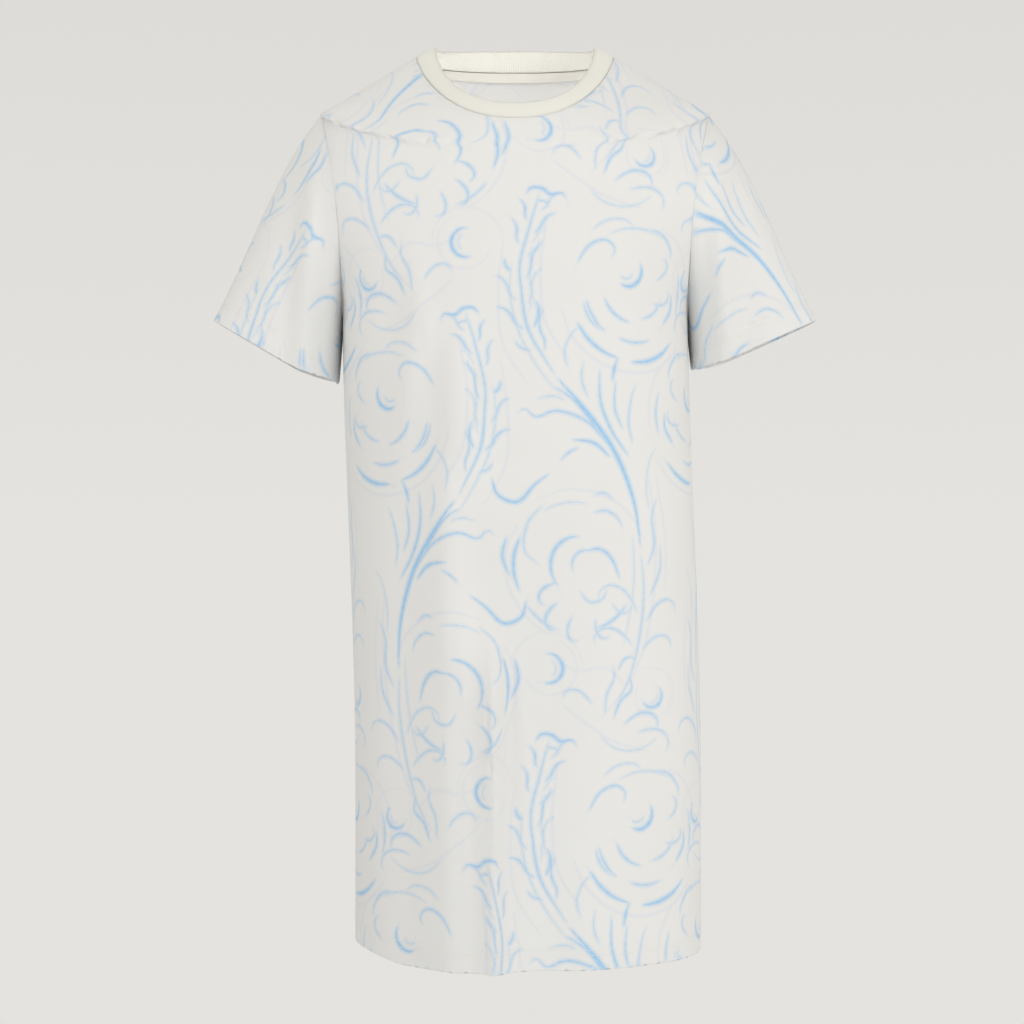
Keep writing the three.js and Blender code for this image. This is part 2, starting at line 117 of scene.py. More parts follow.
def soft_lamp(name, place, aim, size, watts, colour=(1, 1, 1)):
    """A square area lamp that looks at a point."""
    data = bpy.data.lights.new(name, "AREA")
    data.shape, data.size, data.energy, data.color = "SQUARE", size, watts, colour
    lamp = bpy.data.objects.new(name, data)
    lamp.location = place
    lamp.rotation_euler = (Vector(aim) - Vector(place)).to_track_quat("-Z", "Y").to_euler()
    lamp.visible_camera = False
    scene.collection.objects.link(lamp)


middle = Vector((0, 0, hem_z / 2))
soft_lamp("key", (1.9, -2.0, 0.0), middle, 1.5, 21, (1, 0.99, 0.975))
soft_lamp("top_left", (-1.2, -1.3, 0.9), Vector((-0.22, 0, -0.18)), 1.0, 8, (1, 0.995, 0.99))
soft_lamp("low", (0.1, -1.7, -1.3), Vector((0, 0, -0.32)), 1.0, 3.6, (0.72, 0.88, 1))
soft_lamp("inside", (0, -0.04, -0.26), Vector((0, 0.075, -0.01)), 0.12, 0.36, (1, 0.995, 0.99))
scene.view_settings.view_transform = "Standard"
print("floor at", round(hem_z - FLOOR_DROP, 3))

# %% [markdown]
# ## Materials
# Jersey is a fine knit, dull and soft, with a slight sheen at grazing angles. Its print is a
# value called ink that each cloth mesh carries at its vertices: the shader only turns the value
# into dye, so the pattern follows the cloth in every fold. The wrong side shows the print only
# where it strikes through.

# %% Helpers for node materials
def new_material(name, colour, roughness, sheen=0.0):
    """A material with its Principled shader set, and that shader."""
    material = bpy.data.materials.new(name)
    material.use_nodes = True
    shader = material.node_tree.nodes["Principled BSDF"]
    shader.inputs["Base Color"].default_value = (*colour, 1)
    shader.inputs["Roughness"].default_value = roughness
    shader.inputs["Sheen Weight"].default_value = sheen
    shader.inputs["Sheen Roughness"].default_value = 0.5
    shader.inputs["Specular IOR Level"].default_value = 0.25
    return material, shader


def node(material, kind, inputs=None, **settings):
    """Adds a node, sets it and links or fills its inputs."""
    made = material.node_tree.nodes.new(kind)
    for key, value in settings.items():
        setattr(made, key, value)
    for key, value in (inputs or {}).items():
        if isinstance(value, bpy.types.NodeSocket):
            material.node_tree.links.new(value, made.inputs[key])
        else:
            made.inputs[key].default_value = value
    return made


def sums(material, operation, *values):
    """One Math node; a value is a number or a socket."""
    made = node(material, "ShaderNodeMath", dict(enumerate(values)), operation=operation)
    return made.outputs[0]


def linear(red, green, blue):
    """Linear colour of screen values from 0 to 255."""
    def one(value):
        value /= 255
        return value / 12.92 if value <= 0.04045 else ((value + 0.055) / 1.055) ** 2.4
    return (one(red), one(green), one(blue))


def ripple(material, coordinate, pitch):
    """A sine along a coordinate, one wave per pitch."""
    return sums(material, "SINE", sums(material, "MULTIPLY", coordinate, 2 * math.pi / pitch))


def bumped(material, shader, height, distance, strength=1.0):
    bump = node(material, "ShaderNodeBump", {
        "Height": height, "Distance": distance, "Strength": strength,
    })
    material.node_tree.links.new(bump.outputs["Normal"], shader.inputs["Normal"])


def mottled(material, colour, darker, scale):
    """The colour, varied a little from place to place by soft noise on the object."""
    place = node(material, "ShaderNodeTexCoord").outputs["Object"]
    noise = node(material, "ShaderNodeTexNoise", {"Vector": place, "Scale": scale, "Detail": 3.0})
    mix = node(material, "ShaderNodeMix", {
        0: noise.outputs["Fac"], 6: (*colour, 1), 7: (*darker, 1),
    }, data_type="RGBA")
    return mix.outputs[2]


# %% Jersey, face and wrong side
CLOTH_COLOUR = linear(233, 232, 230)
CLOTH_DARKER = linear(228, 227, 225)
DYE = linear(134, 193, 236)
GHOST_DYE = linear(196, 204, 232)
COURSE, WALE = 0.9 * MM, 0.75 * MM  # height of one row of loops and width of one column


def jersey(name, print_share, darker):
    material, shader = new_material(name, CLOTH_COLOUR, 0.92, sheen=0.15)
    base = mottled(
        material,
        tuple(v * darker for v in CLOTH_COLOUR), tuple(v * darker for v in CLOTH_DARKER), 9.0,
    )
    ink = node(material, "ShaderNodeAttribute", attribute_name="ink").outputs["Fac"]
    ghost = node(material, "ShaderNodeAttribute", attribute_name="ghost").outputs["Fac"]
    faint = node(material, "ShaderNodeMix", {
        0: sums(material, "MULTIPLY", ghost, 0.55 * print_share), 6: base, 7: (*GHOST_DYE, 1),
    }, data_type="RGBA").outputs[2]
    dyed = node(material, "ShaderNodeMix", {
        0: sums(material, "MULTIPLY", ink, print_share), 6: faint, 7: (*DYE, 1),
    }, data_type="RGBA").outputs[2]
    material.node_tree.links.new(dyed, shader.inputs["Base Color"])
    pattern = node(material, "ShaderNodeUVMap", uv_map="pattern").outputs["UV"]
    split = node(material, "ShaderNodeSeparateXYZ", {"Vector": pattern}).outputs
    wale = ripple(material, split["X"], WALE)
    lean = sums(material, "MULTIPLY_ADD", wale, 0.25 * COURSE, split["Y"])
    loops = sums(material, "MULTIPLY_ADD", ripple(material, lean, COURSE), 0.5, wale)
    bumped(material, shader, loops, 0.06 * MM)
    return material


face_jersey = jersey("jersey_face", 1.0, 1.0)
wrong_jersey = jersey("jersey_wrong_side", 0.16, 0.965)
print("jersey", face_jersey.name, wrong_jersey.name)

# %% [markdown]
# ## The shape of the gown
# Each body panel is a grid of rows, one above another from the hem to the neckline, and columns
# across. A row is a rounded oval in plan that runs from one edge of the panel to the other, so
# the side seam, the armhole and the shoulder seam are simply the grid's first and last columns.

# %% Sizes from the frame
cuff_low, cuff_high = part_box("left_sleeve")
CHEST_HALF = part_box("hem_thread_lower")[1].x - 0.7 * MM
SHOULDER_HALF = panel_high.x
SHOULDER_DROP, ARMHOLE_HEIGHT = 0.058, 0.205
TIP_Z = -SHOULDER_DROP
UNDERARM_Z = TIP_Z - ARMHOLE_HEIGHT
NECK_HALF = 0.099
DEPTHS = {
    "front": {"neck": 0.052, "chest": 0.120, "hem": -panel_low.y},
    "back": {"neck": 0.070, "chest": 0.115, "hem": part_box("back_panel")[1].y},
}
DEPTH_CURVE, ROUNDNESS = 3.2, 2.3
ARMHOLE_DEPTH = {"front": 0.075, "back": 0.080}
ARMHOLE_ROUNDNESS = 0.8
NECKLINE_DROP = {"front": 0.080, "back": 0.0}
NECKLINE_CURVE = 1.4
PANEL_COLUMNS = 44
BODY_ROWS, ARMHOLE_ROWS, SHOULDER_ROWS = 46, 20, 8


def depth_at(side, z):
    """How far the cloth lies in front of the side seam plane, or behind it, at a height."""
    depth = DEPTHS[side]
    down = np.clip((UNDERARM_Z - z) / (UNDERARM_Z - hem_z), 0, 1)
    filled = 1 - (1 - np.clip(z / UNDERARM_Z, 0, 1)) ** DEPTH_CURVE
    upper = depth["neck"] + (depth["chest"] - depth["neck"]) * filled
    return np.where(z > UNDERARM_Z, upper, depth["chest"] + (depth["hem"] - depth["chest"]) * down)


def edge_at(side, z):
    """Half-width and depth of the panel's edge at a height."""
    t = np.clip((z - UNDERARM_Z) / ARMHOLE_HEIGHT, 0, 1)
    bow = np.sin(np.pi * t)
    armhole_x = CHEST_HALF + (SHOULDER_HALF - CHEST_HALF) * t**2.2 - 4 * MM * bow
    shoulder_x = NECK_HALF + (SHOULDER_HALF - NECK_HALF) * (z / TIP_Z)
    x = np.where(z > TIP_Z, shoulder_x, armhole_x)
    return x, np.where(z > TIP_Z, 0, ARMHOLE_DEPTH[side] * np.maximum(bow, 0) ** ARMHOLE_ROUNDNESS)


def row_heights():
    body = np.linspace(hem_z, UNDERARM_Z, BODY_ROWS, endpoint=False)
    even = np.arange(ARMHOLE_ROWS) / ARMHOLE_ROWS
    closer_at_ends = (1 - np.cos(np.pi * even)) / 2
    share = 0.75 * even + 0.25 * closer_at_ends
    shoulder = np.linspace(TIP_Z, 0, SHOULDER_ROWS + 1)
    return np.concatenate([body, UNDERARM_Z + share * ARMHOLE_HEIGHT, shoulder])


def panel_grid(side):
    """Points of a panel: front columns run from the right arm to the left, back ones return."""
    edge_z = row_heights()[:, None]
    share = np.linspace(0, 1, PANEL_COLUMNS + 1)[None, :]
    x, y = edge_at(side, edge_z)
    reach = (y / depth_at(side, edge_z)) ** ROUNDNESS
    half = x / (1 - reach) ** (1 / ROUNDNESS)
    start = np.arcsin(np.sqrt(reach))
    angle = start + (np.pi - 2 * start) * share
    top = -NECKLINE_DROP[side] * np.sin(np.pi * share) ** NECKLINE_CURVE
    above = np.clip(edge_z - UNDERARM_Z, 0, None) / -UNDERARM_Z
    z = edge_z + top * above**2
    across = half * np.sign(np.cos(angle)) * np.abs(np.cos(angle)) ** (2 / ROUNDNESS)
    out = depth_at(side, z) * np.clip(np.sin(angle), 0, 1) ** (2 / ROUNDNESS)
    sign = 1 if side == "back" else -1
    return np.stack([sign * across, sign * out, z], axis=-1)


grids = {side: panel_grid(side) for side in ("front", "back")}
UNDERARM_ROW, TIP_ROW = BODY_ROWS, BODY_ROWS + ARMHOLE_ROWS
print("panel grid", grids["front"].shape)

# %% The sleeve's grid
SLEEVE_ROWS = 16
CUFF_HALF_DEPTH = 0.050
CUFF_ROUNDNESS = 0.65
cuff_outer = np.array([cuff_high.x, 0, TIP_Z - 0.206])
cuff_inner = np.array([CHEST_HALF + 0.004, 0, cuff_low.z])


def sleeve_grid(side_sign, seam_shift):
    """Rows run from the armhole to the cuff; columns from the underarm round and back to it."""
    first, last = (0, -1) if side_sign > 0 else (-1, 0)
    back = grids["back"][UNDERARM_ROW : TIP_ROW + 1, first]
    front = grids["front"][UNDERARM_ROW:TIP_ROW, last][::-1]
    ring = np.concatenate([back, front]) * (side_sign, 1, 1)
    steps = np.linalg.norm(np.diff(ring, axis=0), axis=1)
    length = np.concatenate([[0], np.cumsum(steps)])
    tip = length[ARMHOLE_ROWS]
    turn = np.where(length <= tip, length / tip / 2, 0.5 + (length - tip) / (length[-1] - tip) / 2)
    inner = cuff_inner + np.array([0, 0, seam_shift])
    centre, half = (cuff_outer + inner) / 2, (cuff_outer - inner) / 2
    angle = 2 * np.pi * turn[:, None]
    cuff = centre - half * np.cos(angle)
    bow = np.sin(angle[:, 0])
    cuff[:, 1] = CUFF_HALF_DEPTH * np.sign(bow) * np.abs(bow) ** CUFF_ROUNDNESS
    share = np.linspace(0, 1, SLEEVE_ROWS + 1)[:, None, None]
    crown = ((1 - np.cos(angle)) / 2)[None]
    swell = 6.75 * share * (1 - share) ** 2
    outward = np.array([0.89, 0, 0.455])
    points = ring[None] * (1 - share) + cuff[None] * share + 7 * MM * crown * swell * outward
    points = points * (side_sign, 1, 1)
    return points if side_sign > 0 else points[:, ::-1]


print("sleeve rows", SLEEVE_ROWS + 1)

# %% [markdown]
# ## Folds and drape
# Light jersey on a form hangs almost straight. A few long shallow folds run down from the bust,
# one drag line runs from the chest to the right underarm, and the hem sways a little to one side.
# They are put into the grids first, and a short cloth simulation, held at the shoulders, then
# softens them and lets the slack cloth find its own small waves.

# %% Folds drawn one by one
SWAY = 13 * MM
HIKED_CORNER = 11 * MM  # by how much the hem hangs higher at the right side seam
# Place across at the hem, half-width, height, height where it starts, shift over one metre.
FRONT_FOLDS = [
    (0.060, 0.024, 2.5 * MM, -0.40, -0.03), (0.122, 0.020, -4.0 * MM, -0.36, -0.03),
    (0.020, 0.020, -2.0 * MM, -0.50, 0.0), (-0.150, 0.018, 2.5 * MM, -0.45, 0.02),
]
BACK_FOLDS = [
    (0.045, 0.022, -7.0 * MM, -0.18, 0.02), (-0.055, 0.024, -6.0 * MM, -0.22, -0.02),
    (0.0, 0.026, 5.0 * MM, -0.20, 0.0), (0.125, 0.022, -5.0 * MM, -0.35, 0.03),
    (-0.130, 0.022, -4.5 * MM, -0.40, -0.03), (0.09, 0.020, 3.5 * MM, -0.38, 0.02),
]
# Heights of a ridge, its places across there, its long and short side and its height.
FRONT_PLEATS = [
    ((-0.54, -0.70, -0.90), (-0.030, -0.026, -0.024), 0.050, 0.009, 17 * MM),
    ((-0.24, -0.34, -0.50, -0.66, -0.90), (-0.044, -0.052, -0.070, -0.074, -0.072), 0.044, 0.020,
     12 * MM),
    ((-0.17, -0.27, -0.36, -0.46), (-0.096, -0.090, -0.100, -0.116), 0.028, 0.013, 7 * MM),
]
PLEATS_BACK = 0.5  # share of the pleats put back after the simulation
PLEATS_SINK = 8 * MM
SLEEVE_FOLDS = [(0.196, 0.010, 5 * MM), (0.178, 0.010, -4 * MM), (0.216, 0.012, -4 * MM)]


def unit(vectors):
    """The vectors with length 1."""
    return vectors / np.maximum(np.linalg.norm(vectors, axis=-1, keepdims=True), 1e-12)


def smooth(value):
    """Eases a share from 0 to 1."""
    value = np.clip(value, 0, 1)
    return value * value * (3 - 2 * value)


def fold_height(folds, x, z):
    """How far the folds lift the cloth, at places across and up the panel."""
    lifted = np.zeros_like(x)
    for at_hem, width, height, start, drift in folds:
        line = at_hem + drift * (z - hem_z)
        grown = smooth((start - z) / (start - hem_z) * 1.6)
        lifted += height * grown * np.exp(-(((x - line) / width) ** 2))
    return lifted


def pleat(x, z, heights, places, reach, short, height):
    """A ridge with a long slope on its left and a short one on its right."""
    heights, places = np.array(heights), np.array(places)
    beside = x - np.interp(-z, -heights, places)
    rise = np.clip(np.where(beside < 0, 1 + beside / reach, 1 - beside / short), 0, 1)
    started = smooth((heights[0] - z) / 0.10)
    ended = 1.0 if heights[-1] < hem_z else smooth((z - heights[-1]) / 0.10)
    return height * rise * started * ended


def drag_line(x, z, start, end, width, height):
    """A crease between two points of the panel, which fades at both ends."""
    start, end = np.array(start), np.array(end)
    along = end - start
    length = np.linalg.norm(along)
    t = ((x - start[0]) * along[0] + (z - start[1]) * along[1]) / length**2
    across = ((x - start[0]) * -along[1] + (z - start[1]) * along[0]) / length
    return height * np.sin(np.pi * np.clip(t, 0, 1)) * np.exp(-((across / width) ** 2))


for side, sign, folds in (("front", -1, FRONT_FOLDS), ("back", 1, BACK_FOLDS)):
    grid = grids[side]
    x, y, z = (grid[..., k].copy() for k in range(3))
    faces_out = np.abs(y) / depth_at(side, z)
    lift = fold_height(folds, x, z)
    if side == "front":
        lift += drag_line(x, z, (-0.085, -0.22), (-0.185, -0.39), 0.016, -5 * MM)
        lift += drag_line(x, z, (0.095, -0.19), (0.180, -0.33), 0.016, -3.5 * MM)
        pleat_room = faces_out**2
        raised = sum(pleat(x, z, *ridge) for ridge in FRONT_PLEATS)
        pleats = raised * pleat_room
        lift += raised
    else:
        lift += drag_line(x, z, (0.08, -0.17), (0.18, -0.34), 0.018, -4 * MM)
        lift += drag_line(x, z, (-0.08, -0.17), (-0.18, -0.34), 0.018, -4 * MM)
    grid[..., 1] += sign * lift * faces_out**2
    grid[..., 0] += SWAY * smooth((-0.22 - z) / 0.5)
    corner = smooth((-0.10 - x) / 0.07) * smooth((hem_z + 0.16 - z) / 0.16)
    grid[..., 2] += HIKED_CORNER * corner
grids["left_sleeve"] = sleeve_grid(1, 5 * MM)
grids["right_sleeve"] = sleeve_grid(-1, -12 * MM)
for name, sign in (("left_sleeve", 1), ("right_sleeve", -1)):
    grid = grids[name]
    rows = np.linspace(0, 1, grid.shape[0])[:, None]
    turn = np.linspace(0, 2 * np.pi, grid.shape[1])[None, :]
    ripples = np.cos(3 * turn + sign) * 2.2 * MM + np.cos(5 * turn + 2 * sign) * 1.2 * MM
    centre = grid.mean(axis=1, keepdims=True)
    outward = grid - centre
    outward /= np.linalg.norm(outward, axis=-1, keepdims=True)
    grid += outward * (ripples * smooth(rows) * np.sin(np.clip(turn / 2, 0, np.pi)))[..., None]
    frontal = np.clip(-outward[..., 1], 0, 1) * smooth(rows * 5)
    for place, width, height in SLEEVE_FOLDS:
        across = np.abs(grid[..., 0]) - place - 0.06 * (-0.12 - grid[..., 2])
        grid[..., 1] -= height * np.exp(-((across / width) ** 2)) * frontal
print("folds", len(FRONT_FOLDS), len(BACK_FOLDS))

# %% Cloth simulation
FRAMES = 24
CLOTH_ORDER = ("front", "back", "left_sleeve", "right_sleeve")


def weld(arrays, grain=0.02 * MM):
    """Joins points of several grids that lie together; gives points and each grid's indices."""
    flat = np.concatenate([a.reshape(-1, 3) for a in arrays])
    _, first, inverse = np.unique(
        np.round(flat / grain).astype(np.int64), axis=0, return_index=True, return_inverse=True
    )
    inverse = inverse.reshape(-1)
    cuts = np.cumsum([a.shape[0] * a.shape[1] for a in arrays])[:-1]
    split = np.split(inverse, cuts)
    return flat[first], [part.reshape(a.shape[:2]) for part, a in zip(split, arrays)]


def grid_quads(index):
    """The quads of a grid of vertex numbers."""
    corners = (index[:-1, :-1], index[:-1, 1:], index[1:, 1:], index[1:, :-1])
    return np.stack([c.reshape(-1) for c in corners], axis=1)


def settle(points, quads, hold):
    """Runs a short cloth simulation and gives the settled points."""
    mesh = bpy.data.meshes.new("drape")
    mesh.from_pydata(points.tolist(), [], quads.tolist())
    cloth = bpy.data.objects.new("drape", mesh)
    scene.collection.objects.link(cloth)
    group = cloth.vertex_groups.new(name="hold")
    for number, weight in enumerate(hold):
        group.add([number], float(weight), "REPLACE")
    modifier = cloth.modifiers.new("cloth", "CLOTH")
    settings = modifier.settings
    settings.quality = 6
    settings.mass = 0.12
    settings.tension_stiffness = settings.compression_stiffness = 18
    settings.shear_stiffness = 8
    settings.bending_stiffness = 0.6
    settings.air_damping = 3
    settings.vertex_group_mass = "hold"
    settings.pin_stiffness = 0.8
    settings.shrink_min = -0.006
    modifier.point_cache.frame_start, modifier.point_cache.frame_end = 1, FRAMES
    scene.frame_start, scene.frame_end = 1, FRAMES
    for number in range(1, FRAMES + 1):
        scene.frame_set(number)
    bpy.ops.object.select_all(action="DESELECT")
    cloth.select_set(True)
    bpy.context.view_layer.objects.active = cloth
    bpy.ops.object.modifier_apply(modifier=modifier.name)
    settled = np.array([v.co for v in cloth.data.vertices])
    bpy.data.objects.remove(cloth)
    scene.frame_set(1)
    return settled


points, numbers = weld([grids[name] for name in CLOTH_ORDER])
quads = np.concatenate([grid_quads(index) for index in numbers])
quads = quads[[len(set(quad)) == 4 for quad in quads.tolist()]]
held = 0.22 + 0.78 * smooth((points[:, 2] + 0.20) / 0.12)
cuffs = np.abs(points[:, 0]) > CHEST_HALF + 0.012
held = np.where(cuffs, np.maximum(held, 0.25), held)
settled = settle(points, quads, held)


def evened(moves, quads, rounds=8):
    """Moves of the cloth's points, each evened out with those of its neighbours."""
    pairs = np.concatenate([quads[:, [0, 1]], quads[:, [1, 2]], quads[:, [2, 3]], quads[:, [3, 0]]])
    meets = np.bincount(pairs.reshape(-1), minlength=len(moves))[:, None]
    for _ in range(rounds):
        total = np.stack([
            np.bincount(pairs[:, 0], moves[pairs[:, 1], k], len(moves))
            + np.bincount(pairs[:, 1], moves[pairs[:, 0], k], len(moves)) for k in range(3)
        ], axis=1)
        moves = 0.4 * moves + 0.6 * total / np.maximum(meets, 1)
    return moves


settled = points + evened(settled - points, quads)
moved = np.linalg.norm(settled - points, axis=1)
print("cloth", len(points), "points; moved mm: mean", round(moved.mean() * 1000, 2), "most",
      round(moved.max() * 1000, 2))
MOST_MOVE = 14 * MM
share = np.minimum(1, MOST_MOVE / np.maximum(moved, 1e-9))[:, None]
settled = points + (settled - points) * share
before = {name: grids[name] for name in CLOTH_ORDER}
for name, index in zip(CLOTH_ORDER, numbers):
    grids[name] = settled[index]

# The simulation may draw the body in and let it sag; its rows get their width and height back.
body = [grids["front"], grids["back"]]
for row in range(UNDERARM_ROW + 1):
    share = float(smooth((UNDERARM_ROW - row) / 14))
    wide = np.ptp(before["front"][row, :, 0]) / np.ptp(body[0][row, :, 0])
    wide = 1 + (wide - 1) * share
    shift = (before["front"][row, :, 0].mean() - body[0][row, :, 0].mean()) * share
    centre = body[0][row, :, 0].mean()
    sag = (body[0][row, :, 2].mean() - before["front"][row, :, 2].mean()) * share
    for grid, old in zip(body, (before["front"], before["back"])):
        grid[row, :, 0] = centre + shift + (grid[row, :, 0] - centre) * wide
        grid[row, :, 2] -= sag
        even = old[row, :, 2] + (grid[row, :, 2] - old[row, :, 2]) * 0.35
        grid[row, :, 2] += (even - grid[row, :, 2]) * share
# It also flattens the pressed pleats of the front. Half of their height is added again, and
# the lower front sinks in a little to make room for it.
sunk = PLEATS_SINK * pleat_room * smooth((-0.42 - before["front"][..., 2]) / 0.25)
grids["front"][..., 1] -= PLEATS_BACK * pleats - sunk
print("cloth settled")

# %% [markdown]
# ## From grid to pattern
# Each grid is unrolled flat, the way the piece lies on the cutting table, so that the print can
# be drawn on flat cloth and then carried onto the hanging shape. The flat piece keeps every
# length of the cloth as nearly as it can. Below the hem line it goes on for the turned hem.

# %% Smooth surfaces through a grid
TURN = 25 * MM  # cloth turned up inside the hem
FOLD_RADIUS = 0.75 * MM
CLOTH = 0.8 * MM


def spline_weights(f):
    return (-0.5 * f + f**2 - 0.5 * f**3, 1 - 2.5 * f**2 + 1.5 * f**3,
            0.5 * f + 2 * f**2 - 1.5 * f**3, -0.5 * f**2 + 0.5 * f**3)


def smooth_surface(grid, rows, columns):
    """Points of the smooth surface through a grid, at rows and columns that need not be whole."""
    padded = np.pad(grid, ((1, 1), (1, 1), (0, 0)), mode="reflect", reflect_type="odd")
    row = np.clip(np.floor(rows).astype(int), 0, grid.shape[0] - 2)
    column = np.clip(np.floor(columns).astype(int), 0, grid.shape[1] - 2)
    total = 0
    for i, down in enumerate(spline_weights(rows - row)):
        for j, over in enumerate(spline_weights(columns - column)):
            total = total + (down * over)[:, None] * padded[row + i, column + j]
    return total


def sample(grid, rows, columns):
    """The same for any cloth: a panel's edge turns a corner at the tip of the shoulder."""
    points = smooth_surface(grid, rows, columns)
    if len(grid) != TIP_ROW + SHOULDER_ROWS + 1:
        return points
    ends = [0, -1]
    for interval, beyond in ((TIP_ROW - 1, TIP_ROW + 1), (TIP_ROW, TIP_ROW - 1)):
        turned = grid.copy()
        if beyond > TIP_ROW and grid.shape[2] == 3:
            turned[beyond, ends] = grid[TIP_ROW - 1, ends] * (1, -1, 1)
        else:
            turned[beyond, ends] = 2 * grid[TIP_ROW, ends] - grid[2 * TIP_ROW - beyond, ends]
        here = np.floor(rows).astype(int) == interval
        points[here] = smooth_surface(turned, rows[here], columns[here])
    return points


def normals_of(grid):
    """Outward direction at each point of a grid."""
    along = np.gradient(grid, axis=1, edge_order=2)
    up = np.gradient(grid, axis=0, edge_order=2)
    return unit(np.cross(along, up))


# %% Unroll
UNROLL_ROUNDS = 600


def unroll(grid, flat):
    """Moves a first flat guess until its lengths match the lengths of the grid in space."""
    number = np.arange(grid.shape[0] * grid.shape[1]).reshape(grid.shape[:2])
    pairs = np.concatenate([
        np.stack([a.reshape(-1), b.reshape(-1)], axis=1)
        for a, b in ((number[:-1], number[1:]), (number[:, :-1], number[:, 1:]),
                     (number[:-1, :-1], number[1:, 1:]), (number[:-1, 1:], number[1:, :-1]))
    ])
    solid, flat = grid.reshape(-1, 3), flat.reshape(-1, 2).copy()
    first, second = pairs[:, 0], pairs[:, 1]
    length = np.linalg.norm(solid[first] - solid[second], axis=1)
    pull = 1 / length
    meets = np.bincount(first, pull, len(flat)) + np.bincount(second, pull, len(flat))
    for _ in range(UNROLL_ROUNDS):
        between = flat[second] - flat[first]
        now = np.maximum(np.linalg.norm(between, axis=1), 1e-9)
        shift = between * (0.5 * pull * (1 - length / now))[:, None]
        moves = np.stack([
            np.bincount(first, shift[:, k], len(flat)) - np.bincount(second, shift[:, k], len(flat))
            for k in range(2)
        ], axis=1)
        flat += 1.3 * moves / meets[:, None]
    flat = flat.reshape(*grid.shape[:2], 2)
    if len(grid) == TIP_ROW + SHOULDER_ROWS + 1:
        # Rows near the shoulder's tip lie close together: each is drawn toward its place between
        # the two beside it, in the ratio of the lengths in space.
        steps = np.linalg.norm(np.diff(grid, axis=0), axis=-1)[:, 2:-2, None]
        for row in (TIP_ROW - 1, TIP_ROW, TIP_ROW + 1) * 3:
            over, under = flat[row + 1, 2:-2], flat[row - 1, 2:-2]
            between = (under * steps[row] + over * steps[row - 1]) / (steps[row] + steps[row - 1])
            flat[row, 2:-2] += 0.6 * (between - flat[row, 2:-2])
    return flat


def running(steps, axis):
    """Running total along an axis, from zero."""
    total = np.cumsum(steps, axis=axis)
    pad = [(1, 0) if k == axis else (0, 0) for k in range(2)]
    return np.pad(total, pad)


def first_guess(name, grid):
    if name in DEPTHS:
        across = running(np.linalg.norm(np.diff(grid[..., :2], axis=1), axis=-1), 1)
        across -= across[:, PANEL_COLUMNS // 2][:, None]
        heights = np.linspace(hem_z, 0.01, 300)
        climb = np.hypot(np.diff(heights), np.diff(depth_at(name, heights)))
        climb = np.concatenate([[0], np.cumsum(climb)])
        return np.stack([across, np.interp(grid[..., 2], heights, climb)], axis=-1)
    across = running(np.linalg.norm(np.diff(grid, axis=1), axis=-1), 1)
    climb = running(np.linalg.norm(np.diff(grid, axis=0), axis=-1), 0)
    return np.stack([across[:, ARMHOLE_ROWS][:, None] - across, climb[-1:] - climb], axis=-1)


flats = {name: unroll(grids[name], first_guess(name, grids[name])) for name in CLOTH_ORDER}
for name in CLOTH_ORDER:
    wide, long = flats[name].reshape(-1, 2).max(axis=0) - flats[name].reshape(-1, 2).min(axis=0)
    stretch = np.linalg.norm(np.diff(flats[name], axis=1), axis=-1) / np.linalg.norm(
        np.diff(grids[name], axis=1), axis=-1)
    print(name, "flat mm", round(wide * 1000), round(long * 1000), "stretch",
          round(float(stretch.min()), 3), round(float(stretch.max()), 3))

# %% [markdown]
# ## The print
# One motif, drawn with curves: a leaning stem with a curled tip and small leaves on both sides,
# a fan of longer leaves, two volutes made of partial arcs, and two loose curls with pale rings
# around them. Every other column of the print is mirrored and dropped. Sizes are millimetres on
# flat cloth. Each stroke is a centre line with a width that tapers at both ends.

# %% Strokes
STEP = 4.2  # distance between two samples of a stroke, mm
HALO = 2.2  # soft edge of the dye beyond a stroke, mm
chance = random.Random(12)


def spline(points, step=STEP):
    """Evenly spaced samples of a smooth curve through a few points."""
    points = np.asarray(points, float)
    padded = np.vstack([2 * points[0] - points[1], points, 2 * points[-1] - points[-2]])
    t = np.linspace(0, 1, 12, endpoint=False)
    weights = spline_weights(t)
    fine = np.vstack([
        sum(w[:, None] * padded[k + i] for i, w in enumerate(weights))
        for k in range(len(points) - 1)
    ] + [points[-1:]])
    along = np.concatenate([[0], np.cumsum(np.linalg.norm(np.diff(fine, axis=0), axis=1))])
    even = np.linspace(0, along[-1], max(4, int(along[-1] / step) + 2))
    return np.stack([np.interp(even, along, fine[:, k]) for k in range(2)], axis=1)


def stroke(points, width, tone=0.6, ghost=False):
    """A stroke of the print: samples, half-width at each, tone and kind."""
    line = spline(points, STEP if width > 2 else 3.5)
    t = np.linspace(0, 1, len(line))
    half = width / 2 * np.sin(np.pi * t**0.85) ** 0.75
    return line, half, tone, ghost


def arc(x, y, radius, start, end, width, tone=0.6, grow=0.0, ghost=False):
    """An arc about a point, angles in degrees, whose radius grows on the way."""
    turn = np.radians(np.linspace(start, end, max(4, int(abs(end - start) / 18))))
    size = radius * (1 + grow * np.linspace(0, 1, len(turn)))
    return stroke(
        np.stack([x + size * np.cos(turn), y + size * np.sin(turn)], axis=1), width, tone, ghost)


def hook(x, y, size, angle, width, tone=0.6, side=1, ghost=False):
    """A stroke that sets out straight and bends round at its end."""
    turn = math.radians(angle)
    along = np.array([math.cos(turn), math.sin(turn)])
    out = side * np.array([-along[1], along[0]])
    shape = ((0, 0), (0.36, 0.02), (0.70, 0.14), (0.92, 0.40), (0.90, 0.68), (0.72, 0.82))
    return stroke([(x, y) + size * (a * along + o * out) for a, o in shape], width, tone, ghost)


